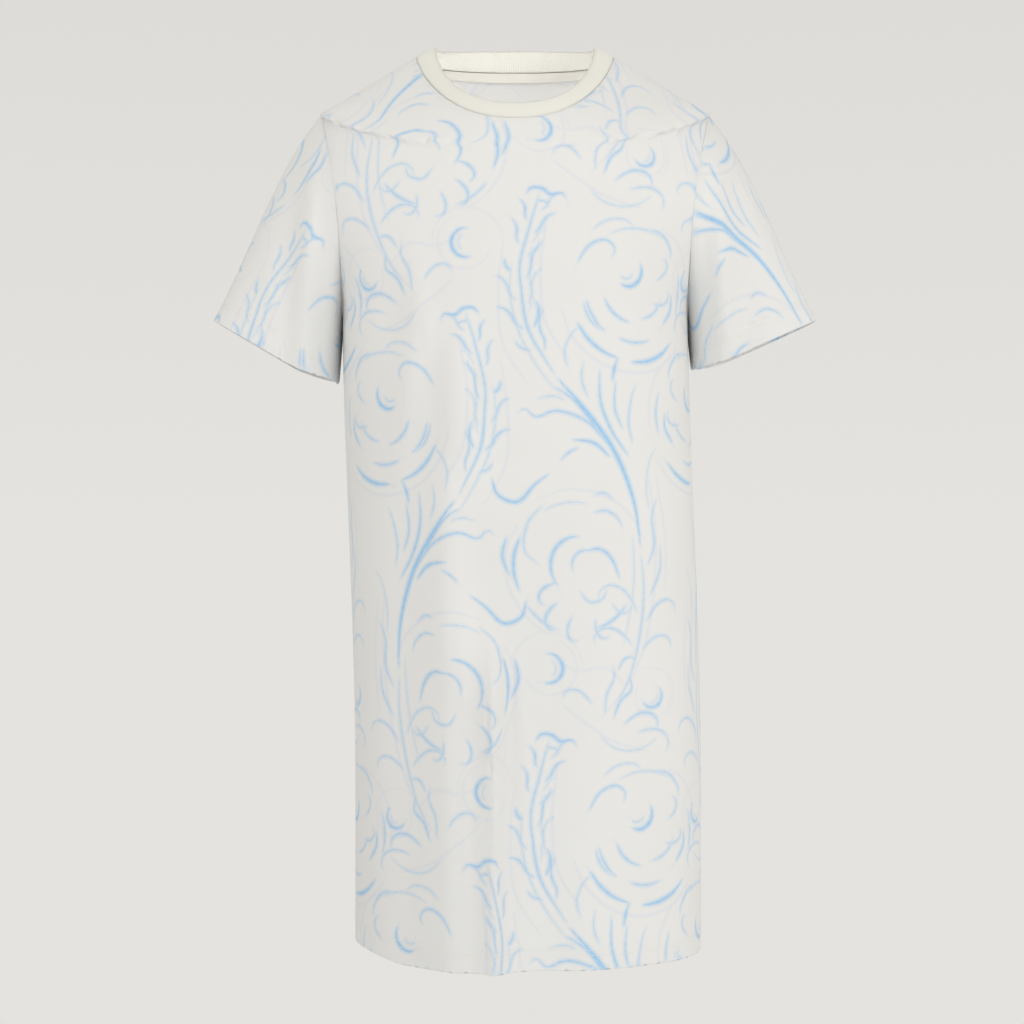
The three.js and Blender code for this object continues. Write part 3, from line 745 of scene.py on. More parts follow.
def leaves(stem, shares, side, length, width, tone, ghost=False):
    """Curved leaflets that leave a stem on one side and curl out at their tips."""
    line = spline(stem, 2.0)
    made = []
    for k, share in enumerate(shares):
        place = int(share * (len(line) - 3)) + 1
        along = unit(line[place - 1] - line[place + 1])
        out = side * np.array([along[1], -along[0]])
        size = length * (0.72 + 0.5 * share + chance.uniform(-0.16, 0.16))
        spread = chance.uniform(0.85, 1.25)
        root = line[place] + chance.uniform(3.5, 6.0) * out
        shape = ((0, 0), (0.26, 0.16), (0.54, 0.20), (0.80, 0.34), (0.96, 0.60))
        if k % 3 == 2:
            shape = ((0.05, 0.05), (0.22, 0.22), (0.44, 0.30), (0.62, 0.30))
        made.append(stroke(
            [root + size * (a * along + spread * o * out) for a, o in shape],
            width * chance.uniform(0.8, 1.2), tone * chance.uniform(0.75, 1.15), ghost))
    return made


def curl(x, y, radius, start, tone):
    """A loose curl with pale rings."""
    return [
        arc(x, y, radius, start, start + 215, 4.2, tone, 0.0),
        arc(x, y, radius * 0.55, start + 40, start + 190, 2.2, tone * 0.5),
        arc(x + 1, y, radius * 1.7, start - 60, start + 190, 2.4, 0.35, 0.15, ghost=True),
        arc(x, y, radius * 2.3, start + 100, start + 300, 2.0, 0.30, 0.1, ghost=True),
    ]


# %% The motif
STEM = [(0, 4), (-10, -30), (-20, -72), (-13, -125), (14, -172), (45, -208), (70, -245),
        (87, -290), (93, -335)]
MOTIF_REPEAT = 515.0


def stem_strokes():
    upper = STEM[:5]
    made = [
        stroke(STEM[:4], 3.4, 0.66), stroke(STEM[2:5], 3.8, 0.72), stroke(STEM[4:9], 6.0, 0.95),
        stroke([(93, -338), (95, -375), (90, -415), (78, -455), (60, -485)], 3.6, 0.55),
        stroke([(84, -318), (85, -352), (81, -388), (71, -428)], 2.6, 0.40),
        stroke([(-14, 0), (-8, 7), (2, 6), (10, 0), (20, 2), (25, -5)], 4.4, 0.85),
        stroke([(-4, -6), (4, -6), (9, -12)], 3.0, 0.6),
        stroke([(-27, -62), (-29, -95), (-20, -132), (0, -168), (24, -196)], 2.8, 0.45),
        stroke([(-8, -48), (-10, -84), (-4, -112)], 2.6, 0.5),
    ]
    made += leaves(upper, (0.10, 0.22, 0.35, 0.47, 0.60, 0.74, 0.88), 1, 34, 3.8, 0.68)
    made += leaves(upper, (0.17, 0.30, 0.44, 0.58, 0.72, 0.84), -1, 29, 3.8, 0.70)
    made += leaves(upper, (0.28, 0.66), 1, 22, 2.4, 0.40)
    return made


def fan_strokes():
    return [
        stroke([(66, -240), (42, -214), (14, -204), (-6, -210), (-16, -202), (-24, -208)], 3.8, 0.75),
        stroke([(58, -232), (36, -200), (20, -186), (8, -180)], 3.6, 0.78),
        stroke([(64, -248), (48, -234), (26, -231)], 4.4, 0.85),
        stroke([(34, -238), (24, -243), (14, -252)], 3.4, 0.65),
        stroke([(22, -194), (10, -190), (-6, -193)], 2.6, 0.50),
        stroke([(84, -248), (66, -222), (56, -194), (56, -162)], 4.2, 0.80),
        stroke([(78, -222), (70, -200), (72, -172)], 3.4, 0.70),
        stroke([(88, -236), (84, -214), (88, -190), (94, -176)], 3.0, 0.60),
        stroke([(68, -176), (71, -162), (75, -152)], 3.8, 0.80),
        stroke([(44, -192), (38, -174), (40, -156)], 2.8, 0.55),
        stroke([(26, -166), (22, -148), (30, -130), (42, -122)], 2.8, 0.50),
        # Leaves beside the lower stem.
        stroke([(99, -352), (108, -330), (106, -304), (114, -284)], 3.4, 0.62),
        stroke([(101, -380), (114, -354), (115, -328)], 3.2, 0.58),
        hook(97, -404, 34, 62, 3.4, 0.62, -1),
        hook(92, -430, 30, 48, 3.2, 0.58, -1),
        stroke([(104, -300), (101, -276), (106, -250), (116, -236)], 2.6, 0.42),
        hook(88, -396, 40, 112, 3.2, 0.55, 1), hook(82, -426, 36, 128, 3.4, 0.62, 1),
    ]


def lower_volute():
    x, y = 28, -352
    return [
        arc(x, y, 61, 150, 204, 4.6, 0.85), arc(x, y, 62, 214, 252, 3.4, 0.60),
        arc(x, y, 59, 286, 326, 4.0, 0.72), arc(x, y, 62, 78, 122, 2.6, 0.45),
        arc(x + 4, y + 4, 26, 92, 226, 4.6, 0.82, 0.25), arc(x + 9, y + 2, 15, 70, 208, 3.4, 0.66),
        stroke([(-50, -266), (-44, -284), (-26, -290), (-10, -274), (6, -262)], 4.4, 0.88),
        stroke([(-2, -292), (-18, -310), (-22, -336), (-8, -350)], 3.2, 0.55),
        stroke([(36, -336), (50, -334), (62, -344), (70, -364)], 4.4, 0.80),
        stroke([(44, -300), (58, -298), (70, -306), (74, -316)], 3.4, 0.62),
        stroke([(46, -284), (56, -281), (66, -288)], 3.0, 0.55),
        hook(6, -366, 22, 196, 3.8, 0.70, 1), hook(8, -384, 24, 214, 3.8, 0.72, 1),
        hook(22, -396, 22, 236, 3.4, 0.62, 1), hook(44, -398, 20, 262, 3.2, 0.60, 1),
        hook(60, -384, 18, 300, 3.0, 0.55, 1),
        stroke([(28, -372), (38, -384), (52, -380), (56, -368)], 3.2, 0.58),
        stroke([(-38, -322), (-43, -342), (-36, -362)], 4.0, 0.78),
    ]


def upper_volute():
    x, y = 92, -92
    return [
        arc(x, y, 64, 206, 256, 4.8, 0.85), arc(x, y, 65, 266, 318, 5.2, 0.92),
        arc(x, y, 62, 62, 118, 2.8, 0.48), arc(x, y, 60, 342, 384, 3.6, 0.62),
        arc(x, y + 2, 49, 190, 232, 3.8, 0.70), arc(x + 2, y + 2, 48, 246, 292, 3.8, 0.66),
        arc(x + 2, y + 6, 34, 196, 262, 4.0, 0.72), arc(x + 4, y + 8, 32, 276, 340, 3.4, 0.62),
        arc(x - 6, y + 22, 15, 236, 396, 5.0, 0.95), arc(x - 8, y + 22, 8, 216, 350, 2.8, 0.55),
        stroke([(34, -66), (46, -48), (62, -42), (72, -50), (68, -60)], 3.8, 0.68),
        stroke([(48, -34), (62, -24), (80, -22), (92, -30)], 3.0, 0.50),
        stroke([(104, -30), (120, -34), (132, -48), (132, -58)], 3.6, 0.62),
        stroke([(128, -120), (140, -104), (140, -88)], 4.0, 0.75),
        hook(118, -78, 20, 30, 3.2, 0.58, 1), hook(116, -100, 20, 350, 3.2, 0.60, 1),
        stroke([(40, -100), (46, -116), (58, -128)], 3.4, 0.65),
    ]


def spray_strokes():
    return [
        stroke([(46, 6), (60, -6), (78, -10), (96, -6), (110, 4)], 2.4, 0.48),
        stroke([(60, 20), (68, 38), (80, 48), (78, 62)], 3.8, 0.70),
        hook(70, 14, 34, 40, 3.8, 0.68, -1), hook(84, 6, 34, 18, 3.2, 0.58, -1),
        stroke([(52, 24), (54, 44), (62, 60), (60, 74)], 3.2, 0.56),
        hook(66, 66, 18, 70, 3.4, 0.62, -1), hook(40, 34, 26, 120, 3.2, 0.58, 1),
    ]


def pale_strokes():
    return [
        arc(28, -352, 74, 20, 120, 3.4, 0.42, ghost=True),
        arc(28, -352, 69, 140, 250, 3.4, 0.42, ghost=True),
        arc(92, -92, 75, 190, 330, 3.6, 0.46, ghost=True),
        arc(92, -92, 70, 350, 430, 3.4, 0.40, ghost=True),
        stroke([(104, -262), (110, -320), (104, -390), (84, -450), (44, -498)], 3.6, 0.48, True),
        stroke([(112, -262), (122, -320), (120, -380)], 3.2, 0.42, True),
        stroke([(6, -24), (0, -70), (4, -120), (30, -160)], 3.4, 0.48, True),
        stroke([(-34, -40), (-40, -90), (-36, -140), (-10, -184)], 3.2, 0.42, True),
        stroke([(0, -436), (26, -448), (54, -446), (80, -470)], 3.4, 0.38, True),
        stroke([(10, 36), (30, 20), (60, 0), (100, -12)], 3.4, 0.42, True),
    ]


def motif():
    return (
        stem_strokes() + fan_strokes() + lower_volute() + upper_volute() + spray_strokes()
        + curl(-2, -446, 14, 250, 0.95) + curl(102, -474, 11, 200, 0.85) + pale_strokes()
    )


MOTIF = motif()
print("strokes in the motif", len(MOTIF))

# %% [markdown]
# ## Printing and sewing up a piece
# The outline of a flat piece, the edges of every stroke and a loose honeycomb of points between
# them are joined by a constrained triangulation. Every vertex then knows its place on the flat
# cloth, its dye and, through the unrolled grid, its place in space. The cloth gets a second,
# inner layer and a closed rim, and its seam edges are rolled in, where the seam takes them up.

# %% Laying the motif over a piece
COLUMN_WIDTH = 170.0
COLUMN_DROP = 115.0
TIP_OFFSET = 36.0
HONEYCOMB = 8.0


def placed_strokes(low, high, middle, tip):
    """All strokes of the repeated motif that touch the box from low to high."""
    placed = []
    first = math.floor((low[0] - middle) / COLUMN_WIDTH) - 1
    last = math.ceil((high[0] - middle) / COLUMN_WIDTH) + 1
    for column in range(first, last):
        mirrored = column % 2 != 0
        origin = middle + (column + (1 if mirrored else 0)) * COLUMN_WIDTH
        across, drop = (-1 if mirrored else 1), (COLUMN_DROP if mirrored else 0)
        for repeat in range(-3, 4):
            shift = (origin + across * TIP_OFFSET, tip - drop - repeat * MOTIF_REPEAT)
            for line, half, tone, ghost in MOTIF:
                moved = line * (across, 1) + shift
                if (moved.max(axis=0) > low).all() and (moved.min(axis=0) < high).all():
                    placed.append((moved, half, tone, ghost))
    return placed


def depth_inside(points, outline):
    """Distance to the outline, positive inside it."""
    nearest = np.full(len(points), np.inf)
    inside = np.zeros(len(points), bool)
    x, y = points[:, 0], points[:, 1]
    for (ax, ay), (bx, by) in zip(outline, np.roll(outline, -1, axis=0)):
        dx, dy = bx - ax, by - ay
        t = np.clip(((x - ax) * dx + (y - ay) * dy) / max(dx * dx + dy * dy, 1e-12), 0, 1)
        nearest = np.minimum(nearest, (x - ax - t * dx) ** 2 + (y - ay - t * dy) ** 2)
        if ay != by:
            crosses = ((ay > y) != (by > y)) & (x < dx * (y - ay) / dy + ax)
            inside ^= crosses
    return np.where(inside, 1, -1) * np.sqrt(nearest)


def stroke_lines(strokes, outline, hem):
    """Points and edges of the strokes' centre, sides and halo, clear of outline and fold."""
    points, edges = [], []
    for line, half, _, ghost in strokes:
        along = unit(np.gradient(line, axis=0))
        out = np.stack([-along[:, 1], along[:, 0]], axis=1)
        halo = 0.6 * HALO if ghost else HALO
        levels = [0, 1, -1] if ghost else [0, 1, -1, 2, -2]
        deep = depth_inside(line, outline) > half + halo + 1.5
        deep &= np.abs(line[:, 1] - hem) > 3.5
        for level in levels:
            reach = np.sign(level) * (half + (halo if abs(level) == 2 or ghost and level else 0))
            if abs(level) == 1 and not ghost:
                reach = np.sign(level) * half
            row = line + out * reach[:, None]
            usable = deep & ((half > 0.12) | (level == 0) | (abs(level) == 2))
            if ghost and level:
                usable = deep
            before = None
            for k in range(len(line)):
                if not usable[k]:
                    before = None
                    continue
                points.append(row[k])
                if before is not None:
                    edges.append((before, len(points) - 1))
                before = len(points) - 1
    return points, edges


THINNEST = 0.5  # half-width under which a stroke fades out, mm


def dye_at(places, strokes):
    """Ink and ghost values at places on the flat cloth."""
    finer = []
    for line, half, tone, ghost in strokes:
        steps = max(2, int(len(line) * 2.5))
        t = np.linspace(0, len(line) - 1, steps)
        index = np.arange(len(line))
        finer.append(np.stack([
            np.interp(t, index, line[:, 0]), np.interp(t, index, line[:, 1]),
            np.interp(t, index, half), np.full(steps, tone), np.full(steps, float(ghost)),
        ], axis=1))
    finer = np.concatenate(finer)
    tree = KDTree(len(finer))
    for k, (x, y) in enumerate(finer[:, :2].tolist()):
        tree.insert((x, y, 0), k)
    tree.balance()
    ink, ghost = np.zeros(len(places)), np.zeros(len(places))
    table = finer.tolist()
    reach = HALO + 2.6
    for number, (x, y) in enumerate(places.tolist()):
        for _, k, far in tree.find_range((x, y, 0), reach):
            _, _, half, tone, pale = table[k]
            tone *= min(1.0, half / THINNEST)
            if pale:
                value = tone * max(0.0, 1 - far / (half + 0.6 * HALO))
                ghost[number] = max(ghost[number], value)
            elif far < half:
                ink[number] = max(ink[number], tone * (1 - 0.72 * far / half))
            else:
                ink[number] = max(ink[number], 0.28 * tone * max(0.0, 1 - (far - half) / HALO))
    return ink, ghost


# %% Cutting a piece
def outline_of(flat):
    """Outline of the piece in mm, anticlockwise, with a mark for each point of a seam edge."""
    rows, columns = flat.shape[:2]
    low = 0 if flat[0, columns // 2, 1] < flat[-1, columns // 2, 1] else rows - 1
    order = range(rows) if low == 0 else range(rows - 1, -1, -1)
    right, left = (columns - 1, 0) if flat[low, -1, 0] > flat[low, 0, 0] else (0, columns - 1)
    across = range(left, right + (1 if right > left else -1), 1 if right > left else -1)
    top = order[-1]
    turn = np.array([0, TURN])
    base = [flat[low, c] for c in across]
    hem = flat[low, :, 1].mean()
    path = [(np.array([p[0], hem]) - turn, False) for p in base]
    path += [(flat[r, right], True) for r in order]
    path += [(flat[top, c], True) for c in reversed(across)][1:-1]
    path += [(flat[r, left], True) for r in reversed(order)]
    dense = []
    for (a, seam_a), (b, seam_b) in zip(path, path[1:] + path[:1]):
        pieces = max(2, int(np.linalg.norm(b - a) / (7 * MM)) + 1)
        for k in range(pieces):
            dense.append((a + (b - a) * k / pieces, seam_a and seam_b or (seam_a and k == 0)))
    points = np.array([p for p, _ in dense]) * 1000
    return points, np.array([seam for _, seam in dense]), hem * 1000


def honeycomb(outline, taken):
    """Loose points between the strokes."""
    low, high = outline.min(axis=0), outline.max(axis=0)
    rise = HONEYCOMB * 0.866
    places = [
        (low[0] + (column + 0.5 * (row % 2)) * HONEYCOMB, low[1] + row * rise)
        for row in range(int((high[1] - low[1]) / rise) + 1)
        for column in range(int((high[0] - low[0]) / HONEYCOMB) + 1)
    ]
    places = np.array(places)
    places = places[depth_inside(places, outline) > 3.0]
    tree = KDTree(max(1, len(taken)))
    for k, (x, y) in enumerate(taken):
        tree.insert((x, y, 0), k)
    tree.balance()
    clear = [not taken or tree.find((x, y, 0))[2] > 3.2 for x, y in places.tolist()]
    return places[clear]


def fold_profile(height):
    """Height over the hem and depth behind the face, for places measured along the cloth."""
    half_turn = FOLD_RADIUS * math.pi / 2
    angle = np.clip(height / FOLD_RADIUS, -math.pi / 2, math.pi / 2)
    bent_up = FOLD_RADIUS * (1 - np.cos(angle)) + np.maximum(np.abs(height) - half_turn, 0)
    return bent_up, FOLD_RADIUS * (1 - np.sin(angle))


def locate(flat, places):
    """Rows and columns of places on the flat cloth."""
    rows, columns = flat.shape[:2]
    number = np.arange(rows * columns).reshape(rows, columns)
    quads = grid_quads(number)
    triangles = np.concatenate([quads[:, [0, 1, 2]], quads[:, [0, 2, 3]]])
    corners = flat.reshape(-1, 2)
    solid = np.column_stack([corners, np.zeros(len(corners))])
    tree = BVHTree.FromPolygons(solid.tolist(), triangles.tolist())
    hits = [tree.find_nearest((x, y, 0)) for x, y in places.tolist()]
    spot = np.array([hit[0][:2] for hit in hits])
    triangle = triangles[[hit[2] for hit in hits]]
    a, b, c = (corners[triangle[:, k]] for k in range(3))
    ab, ac, ap = b - a, c - a, spot - a
    area = ab[:, 0] * ac[:, 1] - ab[:, 1] * ac[:, 0]
    u = (ap[:, 0] * ac[:, 1] - ap[:, 1] * ac[:, 0]) / area
    v = (ab[:, 0] * ap[:, 1] - ab[:, 1] * ap[:, 0]) / area
    place = np.stack([triangle // columns, triangle % columns], axis=-1).astype(float)
    found = place[:, 0] + u[:, None] * (place[:, 1] - place[:, 0])
    found += v[:, None] * (place[:, 2] - place[:, 0])
    return found[:, 0], found[:, 1]


# %% Building a closed, printed cloth
ROLL = 0.5 * MM
ROLL_WIDTH = 3.0
PIECES = {}


def printed_cloth(name, grid, flat, middle, tip):
    """Builds one cloth piece and keeps its object, flat size and area."""
    outline, seam, hem = outline_of(flat)
    strokes = placed_strokes(outline.min(axis=0) - 8, outline.max(axis=0) + 8, middle, hem + tip)
    drawn, lines = stroke_lines(strokes, outline, hem)
    extra = honeycomb(outline, [tuple(p) for p in drawn])
    near_seam = [
        p for p, is_seam, ahead, behind in zip(
            outline, seam, np.roll(outline, -1, axis=0), np.roll(outline, 1, axis=0))
        if is_seam
        for n in [unit(np.array([behind[1] - ahead[1], ahead[0] - behind[0]]))]
        for p in (p + 1.5 * n, p + 3.2 * n)
    ]
    near_seam = np.array(near_seam)
    near_seam = near_seam[depth_inside(near_seam, outline) > 0.9]
    folds = np.array([
        (x, hem + y)
        for x in np.arange(outline[:, 0].min() + 4, outline[:, 0].max() - 3, 5.0)
        for y in (-1.2, -0.6, 0.0, 0.6, 1.2)
    ])
    folds = folds[depth_inside(folds, outline) > 0.5]
    count = len(outline)
    points = [Vector(p) for p in [*outline, *drawn, *near_seam, *folds, *extra]]
    edges = [(a + count, b + count) for a, b in lines]
    flat_points, _, triangles, _, _, _ = geometry.delaunay_2d_cdt(
        points, edges, [list(range(count))], 1, 0.02)
    places = np.array(flat_points)
    triangles = np.array(triangles)
    inner = places[triangles].mean(axis=1)
    triangles = triangles[depth_inside(inner, outline) > 0]
    ink, ghost = dye_at(places, strokes)

    height, behind = fold_profile((places[:, 1] - hem) * MM)
    below = places[:, 1] < hem + 10
    height = np.where(below, height, (places[:, 1] - hem) * MM)
    behind = np.where(below, behind, 0)
    rows, columns = locate(flat, np.column_stack([places[:, 0] * MM, height + hem * MM]))
    points = sample(grid, rows, columns)
    normals = unit(sample(normals_of(grid), rows, columns))
    edge = KDTree(int(seam.sum()) * 4)
    for k, ((ax, ay), (bx, by)) in enumerate(zip(outline, np.roll(outline, -1, axis=0))):
        if seam[k]:
            for j in range(4):
                edge.insert((ax + (bx - ax) * j / 4, ay + (by - ay) * j / 4, 0), 4 * k + j)
    edge.balance()
    far = np.array([edge.find((x, y, 0))[2] for x, y in places.tolist()])
    rolled = ROLL * np.clip(1 - far / ROLL_WIDTH, 0, 1) ** 2
    turned = places[:, 1] < hem
    fold_share = np.clip((places[:, 1] - hem) * MM / (FOLD_RADIUS * math.pi / 2), -1, 1)
    tilt = np.where(below, fold_share, 1)[:, None] * (math.pi / 2)
    down = unit(sample(np.gradient(grid, axis=0), rows, columns))
    down *= -1 if name in DEPTHS else 1
    face = normals * np.sin(tilt) + down * np.cos(tilt)
    outer = points - normals * (behind + rolled)[:, None]
    wrong = outer - face * CLOTH
    build_cloth(name, outer, wrong, face, triangles, places * MM, ink, ghost)
    area = 0.5 * abs(np.sum(
        outline[:, 0] * np.roll(outline[:, 1], -1) - outline[:, 1] * np.roll(outline[:, 0], -1)))
    size = (outline.max(axis=0) - outline.min(axis=0)) * MM
    PIECES[name]["flat"] = (float(size[0]), float(size[1]))
    PIECES[name]["area"] = float(area) * MM * MM
    print(name, len(strokes), "strokes", 2 * len(places), "points", 2 * len(triangles), "triangles",
          "flat mm", [round(float(v) * 1000) for v in size], "dyed share",
          round(float((ink > 0.2).mean()), 3))


def build_cloth(name, outer, wrong, face, triangles, flat, ink, ghost):
    """Makes the mesh object of a cloth from its two layers."""
    count = len(outer)
    directed = np.concatenate([triangles[:, [0, 1]], triangles[:, [1, 2]], triangles[:, [2, 0]]])
    known = set(map(tuple, directed.tolist()))
    rim = [(a, b) for a, b in directed.tolist() if (b, a) not in known]
    faces = [*triangles.tolist(), *(triangles[:, ::-1] + count).tolist()]
    faces += [(b, a, a + count, b + count) for a, b in rim]
    mesh = bpy.data.meshes.new(name)
    mesh.from_pydata(np.concatenate([outer, wrong]).tolist(), [], faces)
    mesh.materials.append(face_jersey)
    mesh.materials.append(wrong_jersey)
    kinds = np.ones(len(faces), dtype=np.int32)
    kinds[: len(triangles)] = 0
    mesh.polygons.foreach_set("material_index", kinds)
    for label, values in (("ink", ink), ("ghost", ghost)):
        attribute = mesh.attributes.new(label, "FLOAT", "POINT")
        attribute.data.foreach_set("value", np.concatenate([values, values]).astype(np.float32))
    layer = mesh.uv_layers.new(name="pattern")
    corner = np.empty(len(mesh.loops), dtype=np.int32)
    mesh.loops.foreach_get("vertex_index", corner)
    layer.data.foreach_set("uv", flat[corner % count].astype(np.float32).reshape(-1))
    mesh.polygons.foreach_set("use_smooth", np.ones(len(faces), dtype=bool))
    mesh.update()
    mesh.normals_split_custom_set_from_vertices(np.concatenate([face, -face]).tolist())
    cloth = bpy.data.objects.new(name, mesh)
    scene.collection.objects.link(cloth)
    PIECES[name] = {"object": cloth}


PRINT_PLACES = {
    "front": (-13.0, 729.0), "back": (-60.0, 600.0),
    "left_sleeve": (-181.0, 330.0), "right_sleeve": (64.0, 120.0),
}
for name in CLOTH_ORDER:
    printed_cloth(name, grids[name], flats[name], *PRINT_PLACES[name])

# %% [markdown]
# ## The rib collar
# A band of 1 x 1 rib, folded double, stands up from the neckline and leans inwards. Its section
# is swept round the neckline of the finished panels, and real ribs run up and over its edge.

# %% Lines on the cloth
def seam_line(name, rows, columns, distance):
    """Points and outward directions at a distance in from a line of the piece's edge."""
    flat, grid = flats[name], grids[name]
    rows = np.asarray(rows, float)
    columns = np.asarray(columns, float)
    edge = sample(flat, rows, columns)
    tangent = unit(np.gradient(edge, axis=0))
    inward = np.stack([-tangent[:, 1], tangent[:, 0]], axis=1)
    middle = flat[flat.shape[0] // 2, flat.shape[1] // 2]
    inward *= np.sign(((middle - edge) * inward).sum(axis=1).mean())
    row, column = locate(flat, edge + inward * distance)
    return sample(grid, row, column), unit(sample(normals_of(grid), row, column))


def neckline(distance, finer=4):
    """The line round the neck at a distance below the collar seam, front first, then back."""
    lines = []
    columns = np.linspace(0, PANEL_COLUMNS, PANEL_COLUMNS * finer + 1)[:-1]
    for side in ("front", "back"):
        top = np.full(len(columns), grids[side].shape[0] - 1.0)
        lines.append(seam_line(side, top, columns, distance))
    return tuple(np.concatenate([lines[0][k], lines[1][k]]) for k in range(2))


def resampled(line, count, closed=True):
    """A line at evenly spaced points."""
    path = np.vstack([line, line[:1]]) if closed else line
    along = np.concatenate([[0], np.cumsum(np.linalg.norm(np.diff(path, axis=0), axis=1))])
    even = np.linspace(0, along[-1], count + 1)[: count if closed else count + 1]
    return np.stack([np.interp(even, along, path[:, k]) for k in range(path.shape[1])], axis=1)


def cloth_object(name, rings, closed, material, size):
    """A closed mesh from section rings along a line, its faces turned outward."""
    count, around = rings.shape[:2]
    number = np.arange(count * around).reshape(count, around)
    wrapped = np.concatenate([number, number[:, :1]], axis=1)
    if closed:
        wrapped = np.concatenate([wrapped, wrapped[:1]])
    faces = grid_quads(wrapped).tolist()
    if not closed:
        faces += [number[0].tolist(), number[-1][::-1].tolist()]
    mesh = bpy.data.meshes.new(name)
    mesh.from_pydata(rings.reshape(-1, 3).tolist(), [], faces)
    mesh.materials.append(material)
    band = bpy.data.objects.new(name, mesh)
    scene.collection.objects.link(band)
    spots = np.zeros((count * around, 2))
    spots[:, 0] = np.repeat(np.linspace(0, size[0], count), around)
    spots[:, 1] = np.tile(np.linspace(0, size[1], around), count)
    layer = mesh.uv_layers.new(name="pattern")
    corner = np.empty(len(mesh.loops), dtype=np.int32)
    mesh.loops.foreach_get("vertex_index", corner)
    layer.data.foreach_set("uv", spots[corner].astype(np.float32).reshape(-1))
    bpy.ops.object.select_all(action="DESELECT")
    band.select_set(True)
    bpy.context.view_layer.objects.active = band
    bpy.ops.object.mode_set(mode="EDIT")
    bpy.ops.mesh.select_all(action="SELECT")
    bpy.ops.mesh.normals_make_consistent(inside=False)
    bpy.ops.object.mode_set(mode="OBJECT")
    bpy.ops.object.shade_smooth_by_angle(angle=math.radians(50))
    return band


# %% Collar
RIB_COLOUR = linear(231, 229, 221)
RIB_RISE = {"front": 17 * MM, "side": 9 * MM, "back": 20 * MM}
RIB_LEAN = {"front": 10 * MM, "side": 20 * MM, "back": 8 * MM}
RIBS, COLUMNS_PER_RIB = 250, 4
RIDGE = 0.14 * MM

rib_material, rib_shader = new_material("rib_knit", RIB_COLOUR, 0.92, sheen=0.15)
rib_tone = mottled(rib_material, RIB_COLOUR, linear(227, 225, 217), 12.0)
rib_material.node_tree.links.new(rib_tone, rib_shader.inputs["Base Color"])
rib_uv = node(rib_material, "ShaderNodeUVMap", uv_map="pattern").outputs["UV"]
rib_axes = node(rib_material, "ShaderNodeSeparateXYZ", {"Vector": rib_uv}).outputs
bumped(rib_material, rib_shader, ripple(rib_material, rib_axes["Y"], 0.9 * MM), 0.05 * MM)

share = np.linspace(0, 1, PANEL_COLUMNS * 4, endpoint=False)
centred = np.sin(np.pi * share) ** NECKLINE_CURVE


def around_neck(values):
    """A value of the collar at each neckline point, from its sides to its two centres."""
    return np.concatenate([
        values["side"] + (values[side] - values["side"]) * centred for side in ("front", "back")
    ])


seam_points, _ = neckline(0.0)
packed = np.column_stack([seam_points, around_neck(RIB_RISE), around_neck(RIB_LEAN)])
packed = resampled(packed, RIBS * COLUMNS_PER_RIB)
base, rise, lean = packed[:, :3], packed[:, 3], packed[:, 4]
radial = unit(base * (1, 1, 0))
above = np.array([0, 0, 1.0])
leant = -radial * lean[:, None] + above * rise[:, None]
face_out = unit(radial * rise[:, None] + above * lean[:, None])
section = [(t, -1.3 + 1.3 * min(1, t / 0.10) ** 0.5 + 0.9 * math.sin(math.pi * t)) for t in
           (0.0, 0.04, 0.10, 0.25, 0.45, 0.65, 0.85, 0.95)]
section += [(1.0, -0.55), (1.012, -1.2), (1.0, -1.85)]
section += [(t, -2.4 + 0.5 * math.sin(math.pi * t)) for t in (0.95, 0.75, 0.5, 0.25, 0.08, 0.0)]
phase = np.cos(2 * np.pi * np.arange(len(base)) / COLUMNS_PER_RIB)
rings = []
for t, out in section:
    side_out = 1 if out > -1.2 else -1
    ridge = RIDGE * phase * side_out * min(1, t / 0.1)
    rings.append(base + leant * t + face_out * (out * MM + ridge)[:, None])
collar = cloth_object(
    "collar_rib", np.stack(rings, axis=1), True, rib_material, (0.56, 0.05))

# %% [markdown]
# ## Seams and tapes inside
# Seam allowances are bound flat strips, pressed to one side. A cotton tape covers the collar
# seam at the back neck, and one runs along each shoulder so that it doesn't stretch.

# %% Strips
SEAM_INSET, SEAM_WIDTH, SEAM_THICKNESS = 0.6 * MM, 6 * MM, 1.0 * MM
TAPE_WIDTH, TAPE_THICKNESS = 9.5 * MM, 0.6 * MM
BEHIND = CLOTH + 0.9 * MM

overlock, overlock_shader = new_material("bound_seam", linear(238, 237, 233), 0.9)
overlock_uv = node(overlock, "ShaderNodeUVMap", uv_map="pattern").outputs["UV"]
overlock_axes = node(overlock, "ShaderNodeSeparateXYZ", {"Vector": overlock_uv}).outputs
slant = sums(overlock, "MULTIPLY_ADD", overlock_axes["Y"], 0.35, overlock_axes["X"])
bumped(overlock, overlock_shader, ripple(overlock, slant, 2.0 * MM), 0.25 * MM)

cotton, cotton_shader = new_material("cotton_tape", linear(240, 237, 228), 0.9)
cotton_uv = node(cotton, "ShaderNodeUVMap", uv_map="pattern").outputs["UV"]
cotton_axes = node(cotton, "ShaderNodeSeparateXYZ", {"Vector": cotton_uv}).outputs
herring = sums(cotton, "PINGPONG", cotton_axes["Y"], 1.6 * MM)
twill = sums(cotton, "ADD", herring, cotton_axes["X"])
bumped(cotton, cotton_shader, ripple(cotton, twill, 0.8 * MM), 0.12 * MM)


